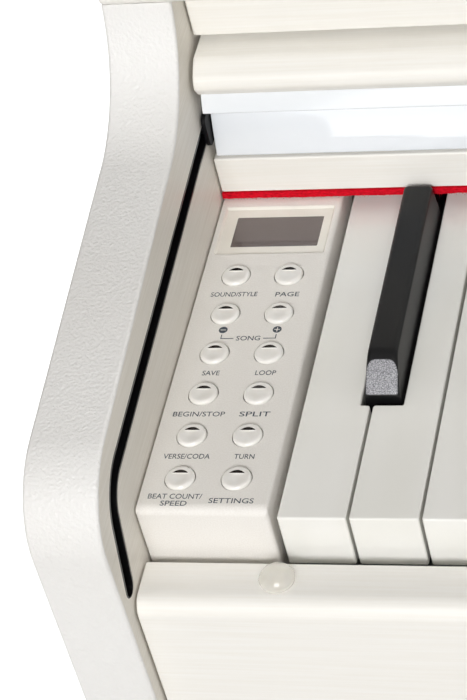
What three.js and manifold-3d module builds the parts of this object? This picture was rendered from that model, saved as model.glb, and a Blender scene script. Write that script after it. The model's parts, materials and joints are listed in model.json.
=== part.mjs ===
// A white cabinet digital piano with a sliding key cover, as an assembly of separate pieces.
// Millimetres. +X is the player's right, +Y the back, +Z up. The origin is on the floor, under the
// middle of the cabinet. Most pieces are placed in the deck group, whose own origin is in the middle of
// the white keys' front edge, at the height of their tops: there y runs back and z up from the keys.
import * as THREE from "three";
import { mergeVertices } from "three/addons/utils/BufferGeometryUtils.js";
import Module from "manifold-3d";

const wasm = await Module();
wasm.setup();

// Overall sizes.
const WIDTH = 1370; // across both side panels
const DEPTH = 430; // from the noses of the arms to the back
const TOP_HEIGHT = 845; // floor to the upper face of the top board

// Boards and gaps.
const PANEL = 25; // thickness of a side panel
const BOARD = 15; // upper front panel, kick board
const BED = 18; // key bed, pedal rail
const BACK_BOARD = 12;
const LID = 22; // top board
const GAP = 0.3; // between pieces that touch
const SIDE_GAP = 0.6; // between a fixed board and the side panels
const SLIDE_GAP = 2.4; // between the sliding cover and the side panels

// Heights above the tops of the white keys, and places behind their front edge.
const LID_RISE = 115; // top board's upper face
const NOSE_REACH = 31; // how far the arms stand before the keys
const NAMEBOARD_Y = 147; // visible length of a white key
const BED_DROP = 95; // underside of the key bed
const UPPER_PANEL_Y = 160;
const UPPER_PANEL_BOTTOM = 69;
const LID_EDGE = 3; // radius of the top board's edges

// Socket plate in the back.
const JACK_X = -380;
const JACK_Z = -40;
const JACK_WIDTH = 130;
const JACK_HEIGHT = 34;
const JACK_PLATE = 9;
const JACK_SINK = 1; // below the back's outer face
const SOCKET_RADIUS = 4;
const SOCKET_DEPTH = 3;
const SOCKET_FIRST = 18;
const SOCKET_PITCH = 24;
const SOCKETS = 5;

// Side panel outline.
const NOSE_RADIUS = 29;
const ARM_SLOPE = THREE.MathUtils.degToRad(6.5); // rise of the arm's upper edge
const ARM_RISE = 41.8; // arm's upper edge where the nose's arc ends
const RISER_Y = 149.5; // front edge of the riser
const RISER_RADIUS = 45.5; // concave curve between arm and riser
const ARM_UNDER = 105; // underside of the arm, below the keys
const LEG_Y = 110; // front edge of the leg
const LEG_RADIUS = 80; // concave curve between arm and leg
const FOOT_REACH = 25; // how far the foot stands before the keys
const FOOT_HEIGHT = 45;
const FOOT_RADIUS = 60;
const TOE_RADIUS = 15;
const PAD_LENGTH = 70; // the foot stands on its two ends
const PAD_STEP = 3;

// Guide rail of the sliding cover.
const RAIL_SLOPE = THREE.MathUtils.degToRad(3.3);
const RAIL_CORNER = [-12.8, 26.5]; // where the straight run and the drop would meet
const RAIL_BEND = 16; // radius of the bend, on the centre line
const RAIL_DROP = 40.7; // length of the drop
const RAIL_DROP_LEAN = THREE.MathUtils.degToRad(13.5); // from the vertical
const RAIL_REAR = 54; // from the back of the cabinet to the rail's rear end
const RAIL_WIDTH = 8;
const RAIL_WALL = 1;
const RAIL_DEPTH = 6;
const RAIL_FIT = 0.2; // around the rail in its groove
const ROLLER_FIT = 0.4; // around a roller in the rail

// Sliding cover.
const COVER_FRONT = 144.2; // foremost line of the nose
const COVER_BOARD_FRONT = 158;
const COVER_BOARD = 9;
const COVER_BOARD_RISE = 45; // underside of the board at the front
const COVER_REAR = 59; // from the back of the cabinet to the board's rear edge
const NOSE_TOP = 66.3;
const NOSE_BOTTOM = 54;
const NOSE_BACK = 172;
const NOSE_OVER = 1; // how far the nose is longer than the board, at each end
const LIP_BOTTOM = 25.2;
const LIP_FRONT = 147; // apron's lower edge
const LIP_LEAN = 5; // how much further back the apron's upper edge is
const LIP_WALL = 2.6;
const LIP_ROOT = 13.4; // from the nose's foremost line to the back of the lip's web
const LIP_TONGUE = 2; // thickness of the tongue between nose and board
const LIP_BACK = 170;
const BAND_BOTTOM = 46.9;
const CARRIAGE_GAP = 0.4; // to the side panel
const CARRIAGE_PLATE = 1.6;
const CARRIAGE_MARGIN = 6; // plate beyond a roller's middle
const FLANGE_FRONT = 160;
const FLANGE_WIDTH = 14;
const ROLLER_SPACING = 150;
const ROLLER_Y = 151; // front roller

// Keys.
const WHITE_COUNT = 52;
const WHITE_PITCH = 23.6;
const KEY_GAP = 1;
const KEY_TAIL = 236; // rear end of every key
const WHITE_BODY = 14;
const WHITE_FRONT = 22; // height of a white key's front face
const BLACK_FRONT = 52; // foot of a black key's front slope
const BLACK_SLOPE = 10;
const BLACK_BACK = 144.5;
const BLACK_RISE = 12;
const BLACK_TOP_WIDTH = 10.2;
const BLACK_BASE_WIDTH = 12.5;
const BLACK_CLEARANCE = 0.9; // between a black key and the white keys beside it
const BLACK_UNDER = -10; // underside of a black key
const BLACK_SILL = 2; // between a black key and the white key before it
const BLACK_TAIL_WIDTH = 9.5;
const WEB = 12; // depth of the bar that joins a section's keys
const WEB_CLEARANCE = 2.4; // room for the other section's keys to tilt

// Key slip, nameboard and felt.
const SLIP_FRONT = -24.5;
const SLIP_BACK = -6.5;
const SLIP_DROP = 15; // slip's upper face below the key tops
const SLIP_RADIUS = 6;
const NAMEBOARD_BOTTOM = 8.5;
const NAMEBOARD_TOP = 24;
const NAMEBOARD = 12;
const FELT_BOTTOM = 5.3;
const FELT_DEPTH = 9;

// End blocks and controls.
const BLOCK_TOP = 5;
const BLOCK_FRONT = -1.5;
const BLOCK_BACK = 158;
const BLOCK_RADIUS = 3;
const BLOCK_WALL = 2.5;
const BLOCK_SIDE_GAP = 0.5; // to the side panel
const BLOCK_KEY_GAP = 2; // to the first key
const BUTTON_RADIUS = 5;
const BUTTON_FIT = 0.4;
const BUTTON_PROUD = 1.2;
const BUTTON_PITCH_X = 19;
const BUTTON_PITCH_Y = 19;
const BUTTON_FIRST_Y = 12.2;
const BUTTON_ROWS = 6;
const BUTTON_FLANGE = 1.2; // how far the flange stands out from the cap, and its thickness
const BUTTON_CHAMFER = 0.6;
const BUTTON_STEM = 2.5;
const BUTTON_STEM_LENGTH = 6;
const BUTTON_TRAVEL = 0.8;
const RECESS_Y = 118.3;
const RECESS_DEPTH = 24.5;
const RECESS_STEP = 0.8;
const RECESS_MARGIN = 2;
const WINDOW_MARGIN_X = 5;
const WINDOW_MARGIN_Y = 4;
const WINDOW_THICKNESS = 1.5;
const MODULE_BORDER = 2; // how far the display module reaches past its window
const PCB = 1.6;
const SWITCH_RADIUS = 2.5;
const KNOB_RADIUS = 10;
const KNOB_HEIGHT = 8;
const KNOB_SHAFT = 3;
const KNOB_Y = 62;
const POWER_Y = 119;

// Under the keys.
const SPEAKER_RADIUS = 52;
const SPEAKER_FLANGE = 8;
const SPEAKER_X = 450;
const SPEAKER_Y = 190;
const SPEAKER_FIT = 1;
const SPEAKER_PLATE = 3; // thickness of the flange
const MAGNET_RADIUS = 28;
const FRAME_BASE = 5;
const FRAME_FRONT = 6; // front edge of the key frame
const FRAME_STOP = 24; // depth of the rail under the keys' fronts
const FRAME_PIVOT = 18; // depth of the rail that the keys pivot on
const FRAME_PIVOT_Y = 196;
const FRAME_REACH = 10; // key frame behind the keys

// Main circuit board.
const MAIN_WIDTH = 240;
const MAIN_DEPTH = 90;
const MAIN_FOOT = 6; // height of its feet
const CHIP = 24;

// Pedals.
const KICK_Y = 262;
const PEDAL_RAIL_BOTTOM = 40;
const PEDAL_RAIL_TOP = 150;
const PEDAL_BOX_WIDTH = 240;
const PEDAL_BOX_DEPTH = 110;
const PEDAL_BOX_BOTTOM = 35;
const PEDAL_BOX_HEIGHT = 75;
const PEDAL_BOX_WALL = 3;
const PEDAL_PITCH = 75;
const PEDAL_WIDTH = 22;
const PEDAL_THICKNESS = 9;
const PEDAL_REACH = 68; // before the box
const PEDAL_AXIS_Z = 72; // above the floor
const PEDAL_CLEARANCE = 2;
const PEDAL_TRAVEL = 12;
const ADJUSTER_X = PEDAL_PITCH / 2;
const ADJUSTER_RADIUS = 16;
const ADJUSTER_STEM = 5;
const BRIDGE = 8; // thickness of the bar that the screw foot turns in
const ADJUSTER_HEIGHT = 12;
const ADJUSTER_LIFT = 1; // above the floor at rest

// Music rest.
const REST_WIDTH = 650;
const REST_HEIGHT = 185;
const REST_THICKNESS = 10;
const REST_LEAN = THREE.MathUtils.degToRad(18);
const REST_FROM_BACK = 196; // hinge, before the back of the cabinet
const REST_GAP = 0.8; // hinge line above the top board
const LEDGE_DEPTH = 26;

// Clear bumpers.
const BUMPER_RADIUS = 6;
const BUMPER_HEIGHT = 3.8;

// Worked out.
const BACK_Y = DEPTH - NOSE_REACH; // the back, behind the keys' front edge
const FLOOR_Z = LID_RISE - TOP_HEIGHT; // the floor, from the key tops
const LID_UNDER = LID_RISE - LID;
const INNER_X = WIDTH / 2 - PANEL; // inner faces of the side panels
const FIELD_WIDTH = WHITE_COUNT * WHITE_PITCH;
const FIELD_LEFT = -FIELD_WIDTH / 2;
const BED_TOP = BED - BED_DROP;
const BLOCK_OUTER = INNER_X - BLOCK_SIDE_GAP;
const BLOCK_INNER = FIELD_WIDTH / 2 + BLOCK_KEY_GAP;
const BLOCK_MIDDLE = (BLOCK_OUTER + BLOCK_INNER) / 2;
const BLOCK_BOTTOM = BED_TOP + GAP;
const PLATE_UNDER = BLOCK_TOP - BLOCK_WALL;
const BUTTON_FLANGE_TOP = PLATE_UNDER - GAP;
const STEM_BOTTOM = BUTTON_FLANGE_TOP - BUTTON_STEM_LENGTH;
const SWITCH_TOP = STEM_BOTTOM - BUTTON_TRAVEL - GAP;
const COVER_X = INNER_X - SLIDE_GAP; // end of the cover
const FIXED_X = INNER_X - SIDE_GAP; // ends of the fixed boards
const FRAME_TOP = -WHITE_BODY - WEB; // upper face of the key frame's rear rail

// Materials.
const foil = new THREE.MeshStandardMaterial({ color: 0xf1eee9, roughness: 0.55 });
const embossed = new THREE.MeshStandardMaterial({ color: 0xf3f2f0, roughness: 0.5 });
const glossWhite = new THREE.MeshStandardMaterial({ color: 0xe9ecf0, roughness: 0.08 });
const moulded = new THREE.MeshStandardMaterial({ color: 0xe9e5e0, roughness: 0.5 });
const buttonWhite = new THREE.MeshStandardMaterial({ color: 0xf4f2ee, roughness: 0.2 });
const keyWhite = new THREE.MeshStandardMaterial({ color: 0xf4f1ec, roughness: 0.15 });
const keyBlack = new THREE.MeshStandardMaterial({ color: 0x1c1c1e, roughness: 0.4 });
const railBlack = new THREE.MeshStandardMaterial({ color: 0x0b0b0c, roughness: 0.25 });
const redFelt = new THREE.MeshStandardMaterial({ color: 0xd40f26, roughness: 1 });
const clearRubber = new THREE.MeshStandardMaterial({ color: 0xe4e0d6, roughness: 0.2 });
const displayGlass = new THREE.MeshStandardMaterial({ color: 0x5b5150, roughness: 0.15 });
const circuit = new THREE.MeshStandardMaterial({ color: 0x1d5a36, roughness: 0.5 });
const darkPlastic = new THREE.MeshStandardMaterial({ color: 0x26272a, roughness: 0.5 });
const steel = new THREE.MeshStandardMaterial({ color: 0x8c8f93, roughness: 0.35, metalness: 1 });
const brass = new THREE.MeshStandardMaterial({ color: 0xc9a55a, roughness: 0.25, metalness: 1 });

// ---- Shapes -------------------------------------------------------------------------------------

// A closed outline from corners [x, y, radius], each rounded by an arc of its own radius.
function roundedShape(corners) {
  const shape = new THREE.Shape();
  corners.forEach(([x, y, radius = 0], i) => {
    const corner = new THREE.Vector2(x, y);
    const [bx, by] = corners.at(i - 1);
    const [ax, ay] = corners[(i + 1) % corners.length];
    const before = new THREE.Vector2(bx, by).sub(corner).normalize();
    const after = new THREE.Vector2(ax, ay).sub(corner).normalize();
    if (!radius) {
      if (i) shape.lineTo(x, y);
      else shape.moveTo(x, y);
      return;
    }
    const half = Math.acos(before.dot(after)) / 2;
    const reach = radius / Math.tan(half);
    const start = corner.clone().addScaledVector(before, reach);
    const end = corner.clone().addScaledVector(after, reach);
    const middle = before.clone().add(after).normalize();
    const centre = corner.clone().addScaledVector(middle, radius / Math.sin(half));
    const from = start.sub(centre).angle();
    const to = end.sub(centre).angle();
    shape.absarc(centre.x, centre.y, radius, from, to, before.cross(after) > 0);
  });
  return shape;
}

// A shape in the (y, z) plane made into a solid from x0 to x1.
function acrossX(shape, x0, x1, arcSteps = 4) {
  const geometry = new THREE.ExtrudeGeometry(shape, {
    depth: x1 - x0,
    bevelEnabled: false,
    curveSegments: arcSteps,
  });
  // Shape x, shape y and depth become y, z and x.
  geometry.applyMatrix4(new THREE.Matrix4().set(0, 0, 1, x0, 1, 0, 0, 0, 0, 1, 0, 0, 0, 0, 0, 1));
  return geometry;
}

// A plan shape in the (x, y) plane made into a solid from z0 to z1.
function upright(shape, z0, z1, arcSteps = 4) {
  const settings = { depth: z1 - z0, bevelEnabled: false, curveSegments: arcSteps };
  return new THREE.ExtrudeGeometry(shape, settings).translate(0, 0, z0);
}

function box(x0, x1, y0, y1, z0, z1) {
  const geometry = new THREE.BoxGeometry(x1 - x0, y1 - y0, z1 - z0);
  return geometry.translate((x0 + x1) / 2, (y0 + y1) / 2, (z0 + z1) / 2);
}

// A disc or bar of round section along Z.
function rod(x, y, z0, z1, radius, sides = 16) {
  const geometry = new THREE.CylinderGeometry(radius, radius, z1 - z0, sides);
  return geometry.rotateX(Math.PI / 2).translate(x, y, (z0 + z1) / 2);
}

// A disc or bar of round section along X.
function axle(x0, x1, y, z, radius, sides = 20) {
  const geometry = new THREE.CylinderGeometry(radius, radius, x1 - x0, sides);
  return geometry.rotateZ(Math.PI / 2).translate((x0 + x1) / 2, y, z);
}

// A turned piece about the vertical through (x, y), from its [radius, z] profile on the axis.
function turned(profile, x, y, sides) {
  const points = profile.map(([r, z]) => new THREE.Vector2(r, z));
  const geometry = new THREE.LatheGeometry(points, sides);
  return geometry.rotateX(Math.PI / 2).translate(x, y, 0);
}

function solid(geometry) {
  const bare = geometry.clone();
  bare.deleteAttribute("normal");
  bare.deleteAttribute("uv");
  const merged = mergeVertices(bare, 1e-4);
  const vertProperties = new Float32Array(merged.attributes.position.array);
  const triVerts = new Uint32Array(merged.index.array);
  return new wasm.Manifold(new wasm.Mesh({ numProp: 3, vertProperties, triVerts }));
}

function surface(manifold) {
  const mesh = manifold.getMesh();
  const geometry = new THREE.BufferGeometry();
  geometry.setAttribute("position", new THREE.BufferAttribute(mesh.vertProperties, 3));
  geometry.setIndex(new THREE.BufferAttribute(mesh.triVerts, 1));
  geometry.computeVertexNormals();
  return geometry;
}

const joined = (...parts) => surface(parts.map(solid).reduce((a, b) => a.add(b)));

const cut = (body, ...tools) => surface(tools.map(solid).reduce((a, b) => a.subtract(b), solid(body)));

// ---- The scene ----------------------------------------------------------------------------------

const piano = new THREE.Group();
const deck = new THREE.Group();
deck.position.set(0, -DEPTH / 2 + NOSE_REACH, -FLOOR_Z);
piano.add(deck);

function place(name, geometry, material) {
  const mesh = new THREE.Mesh(geometry, material);
  mesh.name = name;
  deck.add(mesh);
  return mesh;
}

// The same piece at the left, and mirrored at the right. The geometry is drawn at the left.
function placePair(name, geometry, material) {
  place(name + "_left", geometry, material);
  place(name + "_right", geometry, material).scale.x = -1;
}

// ---- Guide rails and side panels ----------------------------------------------------------------

// The rail's centre line: rear end, corner with its bend, lower end.
function railRoute() {
  const [y, z] = RAIL_CORNER;
  const rearY = BACK_Y - RAIL_REAR;
  return [
    [rearY, z + (rearY - y) * Math.tan(RAIL_SLOPE)],
    [y, z],
    [y - RAIL_DROP * Math.sin(RAIL_DROP_LEAN), z - RAIL_DROP * Math.cos(RAIL_DROP_LEAN)],
  ];
}

// The outline of a band of a given width along the rail's route, with round ends.
function railBand(width) {
  const [rear, corner, low] = railRoute().map(([y, z]) => new THREE.Vector2(y, z));
  const half = width / 2;
  const along = corner.clone().sub(rear).normalize();
  const down = low.clone().sub(corner).normalize();
  const side = new THREE.Vector2(-along.y, along.x);
  const downSide = new THREE.Vector2(-down.y, down.x);
  const mitre = side.clone().add(downSide).normalize();
  const reach = half / mitre.dot(side);
  const ends = half * 0.98;
  // The left side of the route is the inside of its left-hand bend.
  const inner = [
    rear.clone().addScaledVector(side, half),
    corner.clone().addScaledVector(mitre, reach),
    low.clone().addScaledVector(downSide, half),
  ];
  const outer = [
    low.clone().addScaledVector(downSide, -half),
    corner.clone().addScaledVector(mitre, -reach),
    rear.clone().addScaledVector(side, -half),
  ];
  const radii = [ends, RAIL_BEND - half, ends, ends, RAIL_BEND + half, ends];
  const corners = [...inner, ...outer].map((p, i) => [p.x, p.y, radii[i]]);
  return roundedShape(corners.reverse());
}

function guideRail() {
  const channel = acrossX(railBand(RAIL_WIDTH), -INNER_X - RAIL_DEPTH, -INNER_X);
  const inside = acrossX(
    railBand(RAIL_WIDTH - 2 * RAIL_WALL),
    -INNER_X - RAIL_DEPTH + RAIL_WALL,
    -INNER_X + 1,
  );
  return cut(channel, inside);
}

// The side panel's outline: foot, leg, arm with its round nose, and riser up to the top board.
function panelOutline() {
  const top = LID_UNDER - GAP;
  const noseY = -NOSE_REACH + NOSE_RADIUS;
  const noseZ = ARM_RISE - NOSE_RADIUS * Math.cos(ARM_SLOPE);
  const armY = noseY - NOSE_RADIUS * Math.sin(ARM_SLOPE);
  const riserY = RISER_Y - RISER_RADIUS;
  const riserZ = ARM_RISE + (riserY - armY) * Math.tan(ARM_SLOPE) + RISER_RADIUS / Math.cos(ARM_SLOPE);
  const riserEnd = Math.asin(Math.min(0, (top - riserZ) / RISER_RADIUS));
  const footTop = FLOOR_Z + FOOT_HEIGHT;
  const lower = roundedShape([
    [-NOSE_REACH, noseZ - 1],
    [-NOSE_REACH, -ARM_UNDER, TOE_RADIUS],
    [LEG_Y, -ARM_UNDER, LEG_RADIUS],
    [LEG_Y, footTop, FOOT_RADIUS],
    [-FOOT_REACH, footTop, TOE_RADIUS],
    [-FOOT_REACH, FLOOR_Z],
    [-FOOT_REACH + PAD_LENGTH, FLOOR_Z],
    [-FOOT_REACH + PAD_LENGTH + PAD_STEP, FLOOR_Z + PAD_STEP],
    [BACK_Y - PAD_LENGTH - PAD_STEP, FLOOR_Z + PAD_STEP],
    [BACK_Y - PAD_LENGTH, FLOOR_Z],
    [BACK_Y, FLOOR_Z],
    [BACK_Y, top],
  ]);
  lower.lineTo(riserY + RISER_RADIUS * Math.cos(riserEnd), top);
  lower.absarc(riserY, riserZ, RISER_RADIUS, riserEnd, ARM_SLOPE - Math.PI / 2, true);
  lower.absarc(noseY, noseZ, NOSE_RADIUS, Math.PI / 2 + ARM_SLOPE, Math.PI, false);
  return lower;
}

function sidePanel() {
  const panel = acrossX(panelOutline(), -WIDTH / 2, -INNER_X, 6);
  const groove = acrossX(
    railBand(RAIL_WIDTH + 2 * RAIL_FIT),
    -INNER_X - RAIL_DEPTH - RAIL_FIT,
    -INNER_X + 1,
  );
  return cut(panel, groove);
}

// ---- Boards -------------------------------------------------------------------------------------

function topBoard() {
  const outline = roundedShape([
    [NAMEBOARD_Y, LID_UNDER, LID_EDGE],
    [BACK_Y, LID_UNDER],
    [BACK_Y, LID_RISE, LID_EDGE],
    [NAMEBOARD_Y, LID_RISE, LID_EDGE],
  ]);
  return acrossX(outline, -WIDTH / 2, WIDTH / 2, 2);
}

const upperFrontPanel = () =>
  box(-FIXED_X, FIXED_X, UPPER_PANEL_Y, UPPER_PANEL_Y + BOARD, UPPER_PANEL_BOTTOM, LID_UNDER - GAP);

function rearPanel() {
  const board = box(-FIXED_X, FIXED_X, BACK_Y - BACK_BOARD, BACK_Y - GAP, -BED_DROP, LID_UNDER - GAP);
  const hole = box(
    JACK_X - GAP,
    JACK_X + JACK_WIDTH + GAP,
    BACK_Y - BACK_BOARD - 1,
    BACK_Y + 1,
    JACK_Z - GAP,
    JACK_Z + JACK_HEIGHT + GAP,
  );
  return cut(board, hole);
}

// The socket plate: a row of round sockets, as recesses in its outer face.
function jackPanel() {
  const face = BACK_Y - JACK_SINK;
  const plate = box(JACK_X, JACK_X + JACK_WIDTH, face - JACK_PLATE, face, JACK_Z, JACK_Z + JACK_HEIGHT);
  const sockets = [...Array(SOCKETS).keys()].map((i) => {
    const bore = new THREE.CylinderGeometry(SOCKET_RADIUS, SOCKET_RADIUS, 2 * SOCKET_DEPTH, 16);
    return bore.translate(JACK_X + SOCKET_FIRST + i * SOCKET_PITCH, face, JACK_Z + JACK_HEIGHT / 2);
  });
  return cut(plate, ...sockets);
}

function keyBed() {
  const board = box(-FIXED_X, FIXED_X, SLIP_BACK + GAP, BACK_Y - BACK_BOARD - GAP, -BED_DROP, BED_TOP);
  const holes = [-SPEAKER_X, SPEAKER_X].map((x) =>
    rod(x, SPEAKER_Y, -BED_DROP - 1, BED_TOP + 1, SPEAKER_RADIUS, 24),
  );
  return cut(board, ...holes);
}

// The key slip's section: flat top, a rounded front edge and a plain front face.
function keySlip() {
  const section = roundedShape([
    [SLIP_FRONT, -BED_DROP, 1],
    [SLIP_BACK, -BED_DROP],
    [SLIP_BACK, -SLIP_DROP, 1],
    [SLIP_FRONT, -SLIP_DROP, SLIP_RADIUS],
  ]);
  return acrossX(section, -FIXED_X, FIXED_X, 3);
}

const nameboard = () =>
  box(-FIXED_X, FIXED_X, NAMEBOARD_Y, NAMEBOARD_Y + NAMEBOARD, NAMEBOARD_BOTTOM, NAMEBOARD_TOP);

const feltStrip = () =>
  box(
    -BLOCK_OUTER,
    BLOCK_OUTER,
    NAMEBOARD_Y + GAP,
    NAMEBOARD_Y + FELT_DEPTH,
    FELT_BOTTOM,
    NAMEBOARD_BOTTOM - GAP,
  );

const kickBoard = () =>
  box(-FIXED_X, FIXED_X, KICK_Y, KICK_Y + BOARD, FLOOR_Z + PEDAL_RAIL_TOP + GAP, -BED_DROP - GAP);

const pedalRail = () =>
  box(-FIXED_X, FIXED_X, KICK_Y, KICK_Y + BED, FLOOR_Z + PEDAL_RAIL_BOTTOM, FLOOR_Z + PEDAL_RAIL_TOP);

// A clear dome on the key slip: a cap of a sphere.
function bumper() {
  const steps = 3;
  const ball = (BUMPER_RADIUS ** 2 + BUMPER_HEIGHT ** 2) / (2 * BUMPER_HEIGHT);
  const widest = Math.asin(BUMPER_RADIUS / ball);
  const base = GAP - SLIP_DROP;
  const profile = [[0, base]];
  for (let i = 0; i <= steps; i++) {
    const angle = widest * (1 - i / steps);
    profile.push([ball * Math.sin(angle), base + BUMPER_HEIGHT - ball * (1 - Math.cos(angle))]);
  }
  return turned(profile, FIELD_LEFT, (SLIP_BACK + SLIP_FRONT) / 2 + 2.3, 16);
}

// ---- Sliding cover ------------------------------------------------------------------------------

const railZ = (y) => RAIL_CORNER[1] + (y - RAIL_CORNER[0]) * Math.tan(RAIL_SLOPE);

// The board's sloping section, parallel to the rails.
function coverBoard() {
  const front = COVER_BOARD_FRONT;
  const rear = BACK_Y - COVER_REAR;
  const top = COVER_BOARD_RISE + COVER_BOARD;
  const tongue = NOSE_BOTTOM - 2 * GAP - LIP_TONGUE;
  const section = roundedShape([
    [front, COVER_BOARD_RISE],
    [rear, COVER_BOARD_RISE + (rear - front) * Math.tan(RAIL_SLOPE)],
    [rear, top + (rear - front) * Math.tan(RAIL_SLOPE)],
    [NOSE_BACK + GAP, top + (NOSE_BACK - front) * Math.tan(RAIL_SLOPE)],
    [NOSE_BACK + GAP, tongue],
    [front, tongue],
  ]);
  return acrossX(section, -COVER_X, COVER_X);
}

// The nose: a bull-nosed wooden bar with a flat top that runs back under the upper front panel.
function coverNose() {
  const section = roundedShape([
    [COVER_FRONT + 2.4, NOSE_BOTTOM, 1],
    [NOSE_BACK, NOSE_BOTTOM],
    [NOSE_BACK, NOSE_TOP],
    [COVER_FRONT + 7.3, NOSE_TOP, 5],
    [COVER_FRONT + 0.8, NOSE_TOP - 4.8, 5],
    [COVER_FRONT, NOSE_BOTTOM + 3.5, 3],
  ]);
  return acrossX(section, -COVER_X - NOSE_OVER, COVER_X + NOSE_OVER, 3);
}

// The lip: an upper band that overhangs a plain apron, which leans back towards its upper edge.
function coverLip() {
  const top = NOSE_BOTTOM - GAP;
  const section = roundedShape([
    [COVER_FRONT - 0.3, BAND_BOTTOM, 0.6],
    [LIP_FRONT + LIP_LEAN - 0.4, BAND_BOTTOM],
    [LIP_FRONT, LIP_BOTTOM, 0.6],
    [LIP_FRONT + LIP_WALL, LIP_BOTTOM, 0.6],
    [LIP_FRONT + LIP_LEAN + LIP_WALL, BAND_BOTTOM - 1],
    [COVER_FRONT + LIP_ROOT, BAND_BOTTOM - 1],
    [COVER_FRONT + LIP_ROOT, top - LIP_TONGUE],
    [LIP_BACK, top - LIP_TONGUE],
    [LIP_BACK, top],
    [COVER_FRONT + 2, top, 0.6],
  ]);
  return acrossX(section, -COVER_X, COVER_X, 2);
}

// The bracket at the cover's end: a plate in the gap beside the cover, a flange under the board, and
// two rollers in the guide rail.
function coverCarriage() {
  const x0 = -INNER_X + CARRIAGE_GAP;
  const x1 = x0 + CARRIAGE_PLATE;
  const front = ROLLER_Y - CARRIAGE_MARGIN;
  const rear = ROLLER_Y + ROLLER_SPACING + CARRIAGE_MARGIN;
  const boardUnder = (y) => COVER_BOARD_RISE - GAP + (y - COVER_BOARD_FRONT) * Math.tan(RAIL_SLOPE);
  const plate = acrossX(
    roundedShape([
      [front, railZ(front) - 5, 3],
      [rear, railZ(rear) - 5, 3],
      [rear, boardUnder(rear)],
      [front, boardUnder(front), 3],
    ]),
    x0,
    x1,
    2,
  );
  const flange = acrossX(
    roundedShape([
      [FLANGE_FRONT, boardUnder(FLANGE_FRONT) - CARRIAGE_PLATE],
      [rear, boardUnder(rear) - CARRIAGE_PLATE],
      [rear, boardUnder(rear)],
      [FLANGE_FRONT, boardUnder(FLANGE_FRONT)],
    ]),
    x0,
    x0 + FLANGE_WIDTH,
  );
  const radius = RAIL_WIDTH / 2 - RAIL_WALL - ROLLER_FIT;
  const rollers = [ROLLER_Y, ROLLER_Y + ROLLER_SPACING].map((y) =>
    axle(-INNER_X - RAIL_DEPTH + RAIL_WALL + 0.5, x0 + 0.5, y, railZ(y), radius, 16),
  );
  return joined(plate, flange, ...rollers);
}

// ---- End blocks ---------------------------------------------------------------------------------

// A block's outer shell at the left, open underneath.
function blockShell() {
  const section = (inset, bottom) =>
    roundedShape([
      [BLOCK_FRONT + inset, bottom],
      [BLOCK_BACK - inset, bottom],
      [BLOCK_BACK - inset, BLOCK_TOP - inset, 1],
      [BLOCK_FRONT + inset, BLOCK_TOP - inset, BLOCK_RADIUS],
    ]);
  const outer = acrossX(section(0, BLOCK_BOTTOM), -BLOCK_OUTER, -BLOCK_INNER);
  const inside = acrossX(
    section(BLOCK_WALL, BLOCK_BOTTOM - 1),
    -BLOCK_OUTER + BLOCK_WALL,
    -BLOCK_INNER - BLOCK_WALL,
  );
  return cut(outer, inside);
}

const buttonY = (row) => BUTTON_FIRST_Y + row * BUTTON_PITCH_Y;
const buttonX = (column) => -BLOCK_MIDDLE + (column - 0.5) * BUTTON_PITCH_X;
const buttonPlaces = [...Array(2 * BUTTON_ROWS).keys()].map((i) => ({
  x: buttonX(i % 2),
  y: buttonY(Math.floor(i / 2)),
  name: `button_${Math.floor(i / 2) + 1}_${i % 2 ? "right" : "left"}`,
}));

// A rectangle inside the block's top, set in from the recess's edges.
function displayBox(marginX, marginY, z0, z1) {
  return box(
    -BLOCK_OUTER + RECESS_MARGIN + marginX,
    -BLOCK_INNER - RECESS_MARGIN - marginX,
    RECESS_Y + marginY,
    RECESS_Y + RECESS_DEPTH - marginY,
    z0,
    z1,
  );
}

function controlBlock() {
  const holes = buttonPlaces.map(({ x, y }) =>
    rod(x, y, PLATE_UNDER - 1, BLOCK_TOP + 1, BUTTON_RADIUS + BUTTON_FIT),
  );
  const recess = displayBox(0, 0, BLOCK_TOP - RECESS_STEP, BLOCK_TOP + 1);
  const window = displayBox(WINDOW_MARGIN_X - GAP, WINDOW_MARGIN_Y - GAP, PLATE_UNDER - 1, BLOCK_TOP);
  return cut(blockShell(), ...holes, recess, window);
}

function displayWindow() {
  const top = BLOCK_TOP - RECESS_STEP;
  return displayBox(WINDOW_MARGIN_X, WINDOW_MARGIN_Y, top - WINDOW_THICKNESS, top);
}

function displayModule() {
  const top = PLATE_UNDER - GAP;
  return displayBox(WINDOW_MARGIN_X - MODULE_BORDER, WINDOW_MARGIN_Y - MODULE_BORDER, top - 6, top);
}

// The circuit board under the buttons, with a switch under each.
function controlBoard() {
  const reach = BUTTON_PITCH_X / 2 + BUTTON_RADIUS + 2;
  const top = SWITCH_TOP - 1;
  const board = box(
    -BLOCK_MIDDLE - reach,
    -BLOCK_MIDDLE + reach,
    buttonY(0) - 7,
    buttonY(BUTTON_ROWS - 1) + 6,
    top - PCB,
    top,
  );
  const switches = buttonPlaces.map(({ x, y }) => rod(x, y, top - 0.5, SWITCH_TOP, SWITCH_RADIUS, 6));
  return joined(board, ...switches);
}

// A round push button: a slightly domed cap, a flange that holds it in its hole, and a stem.
function pushButton(x, y) {
  const profile = [
    [0, STEM_BOTTOM],
    [BUTTON_STEM, STEM_BOTTOM],
    [BUTTON_STEM, BUTTON_FLANGE_TOP - BUTTON_FLANGE],
    [BUTTON_RADIUS + BUTTON_FLANGE, BUTTON_FLANGE_TOP - BUTTON_FLANGE],
    [BUTTON_RADIUS + BUTTON_FLANGE, BUTTON_FLANGE_TOP],
    [BUTTON_RADIUS, BUTTON_FLANGE_TOP],
    [BUTTON_RADIUS, BLOCK_TOP + BUTTON_PROUD - BUTTON_CHAMFER],
    [BUTTON_RADIUS - BUTTON_CHAMFER, BLOCK_TOP + BUTTON_PROUD],
    [0, BLOCK_TOP + BUTTON_PROUD],
  ];
  return turned(profile, x, y, 12);
}

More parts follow.
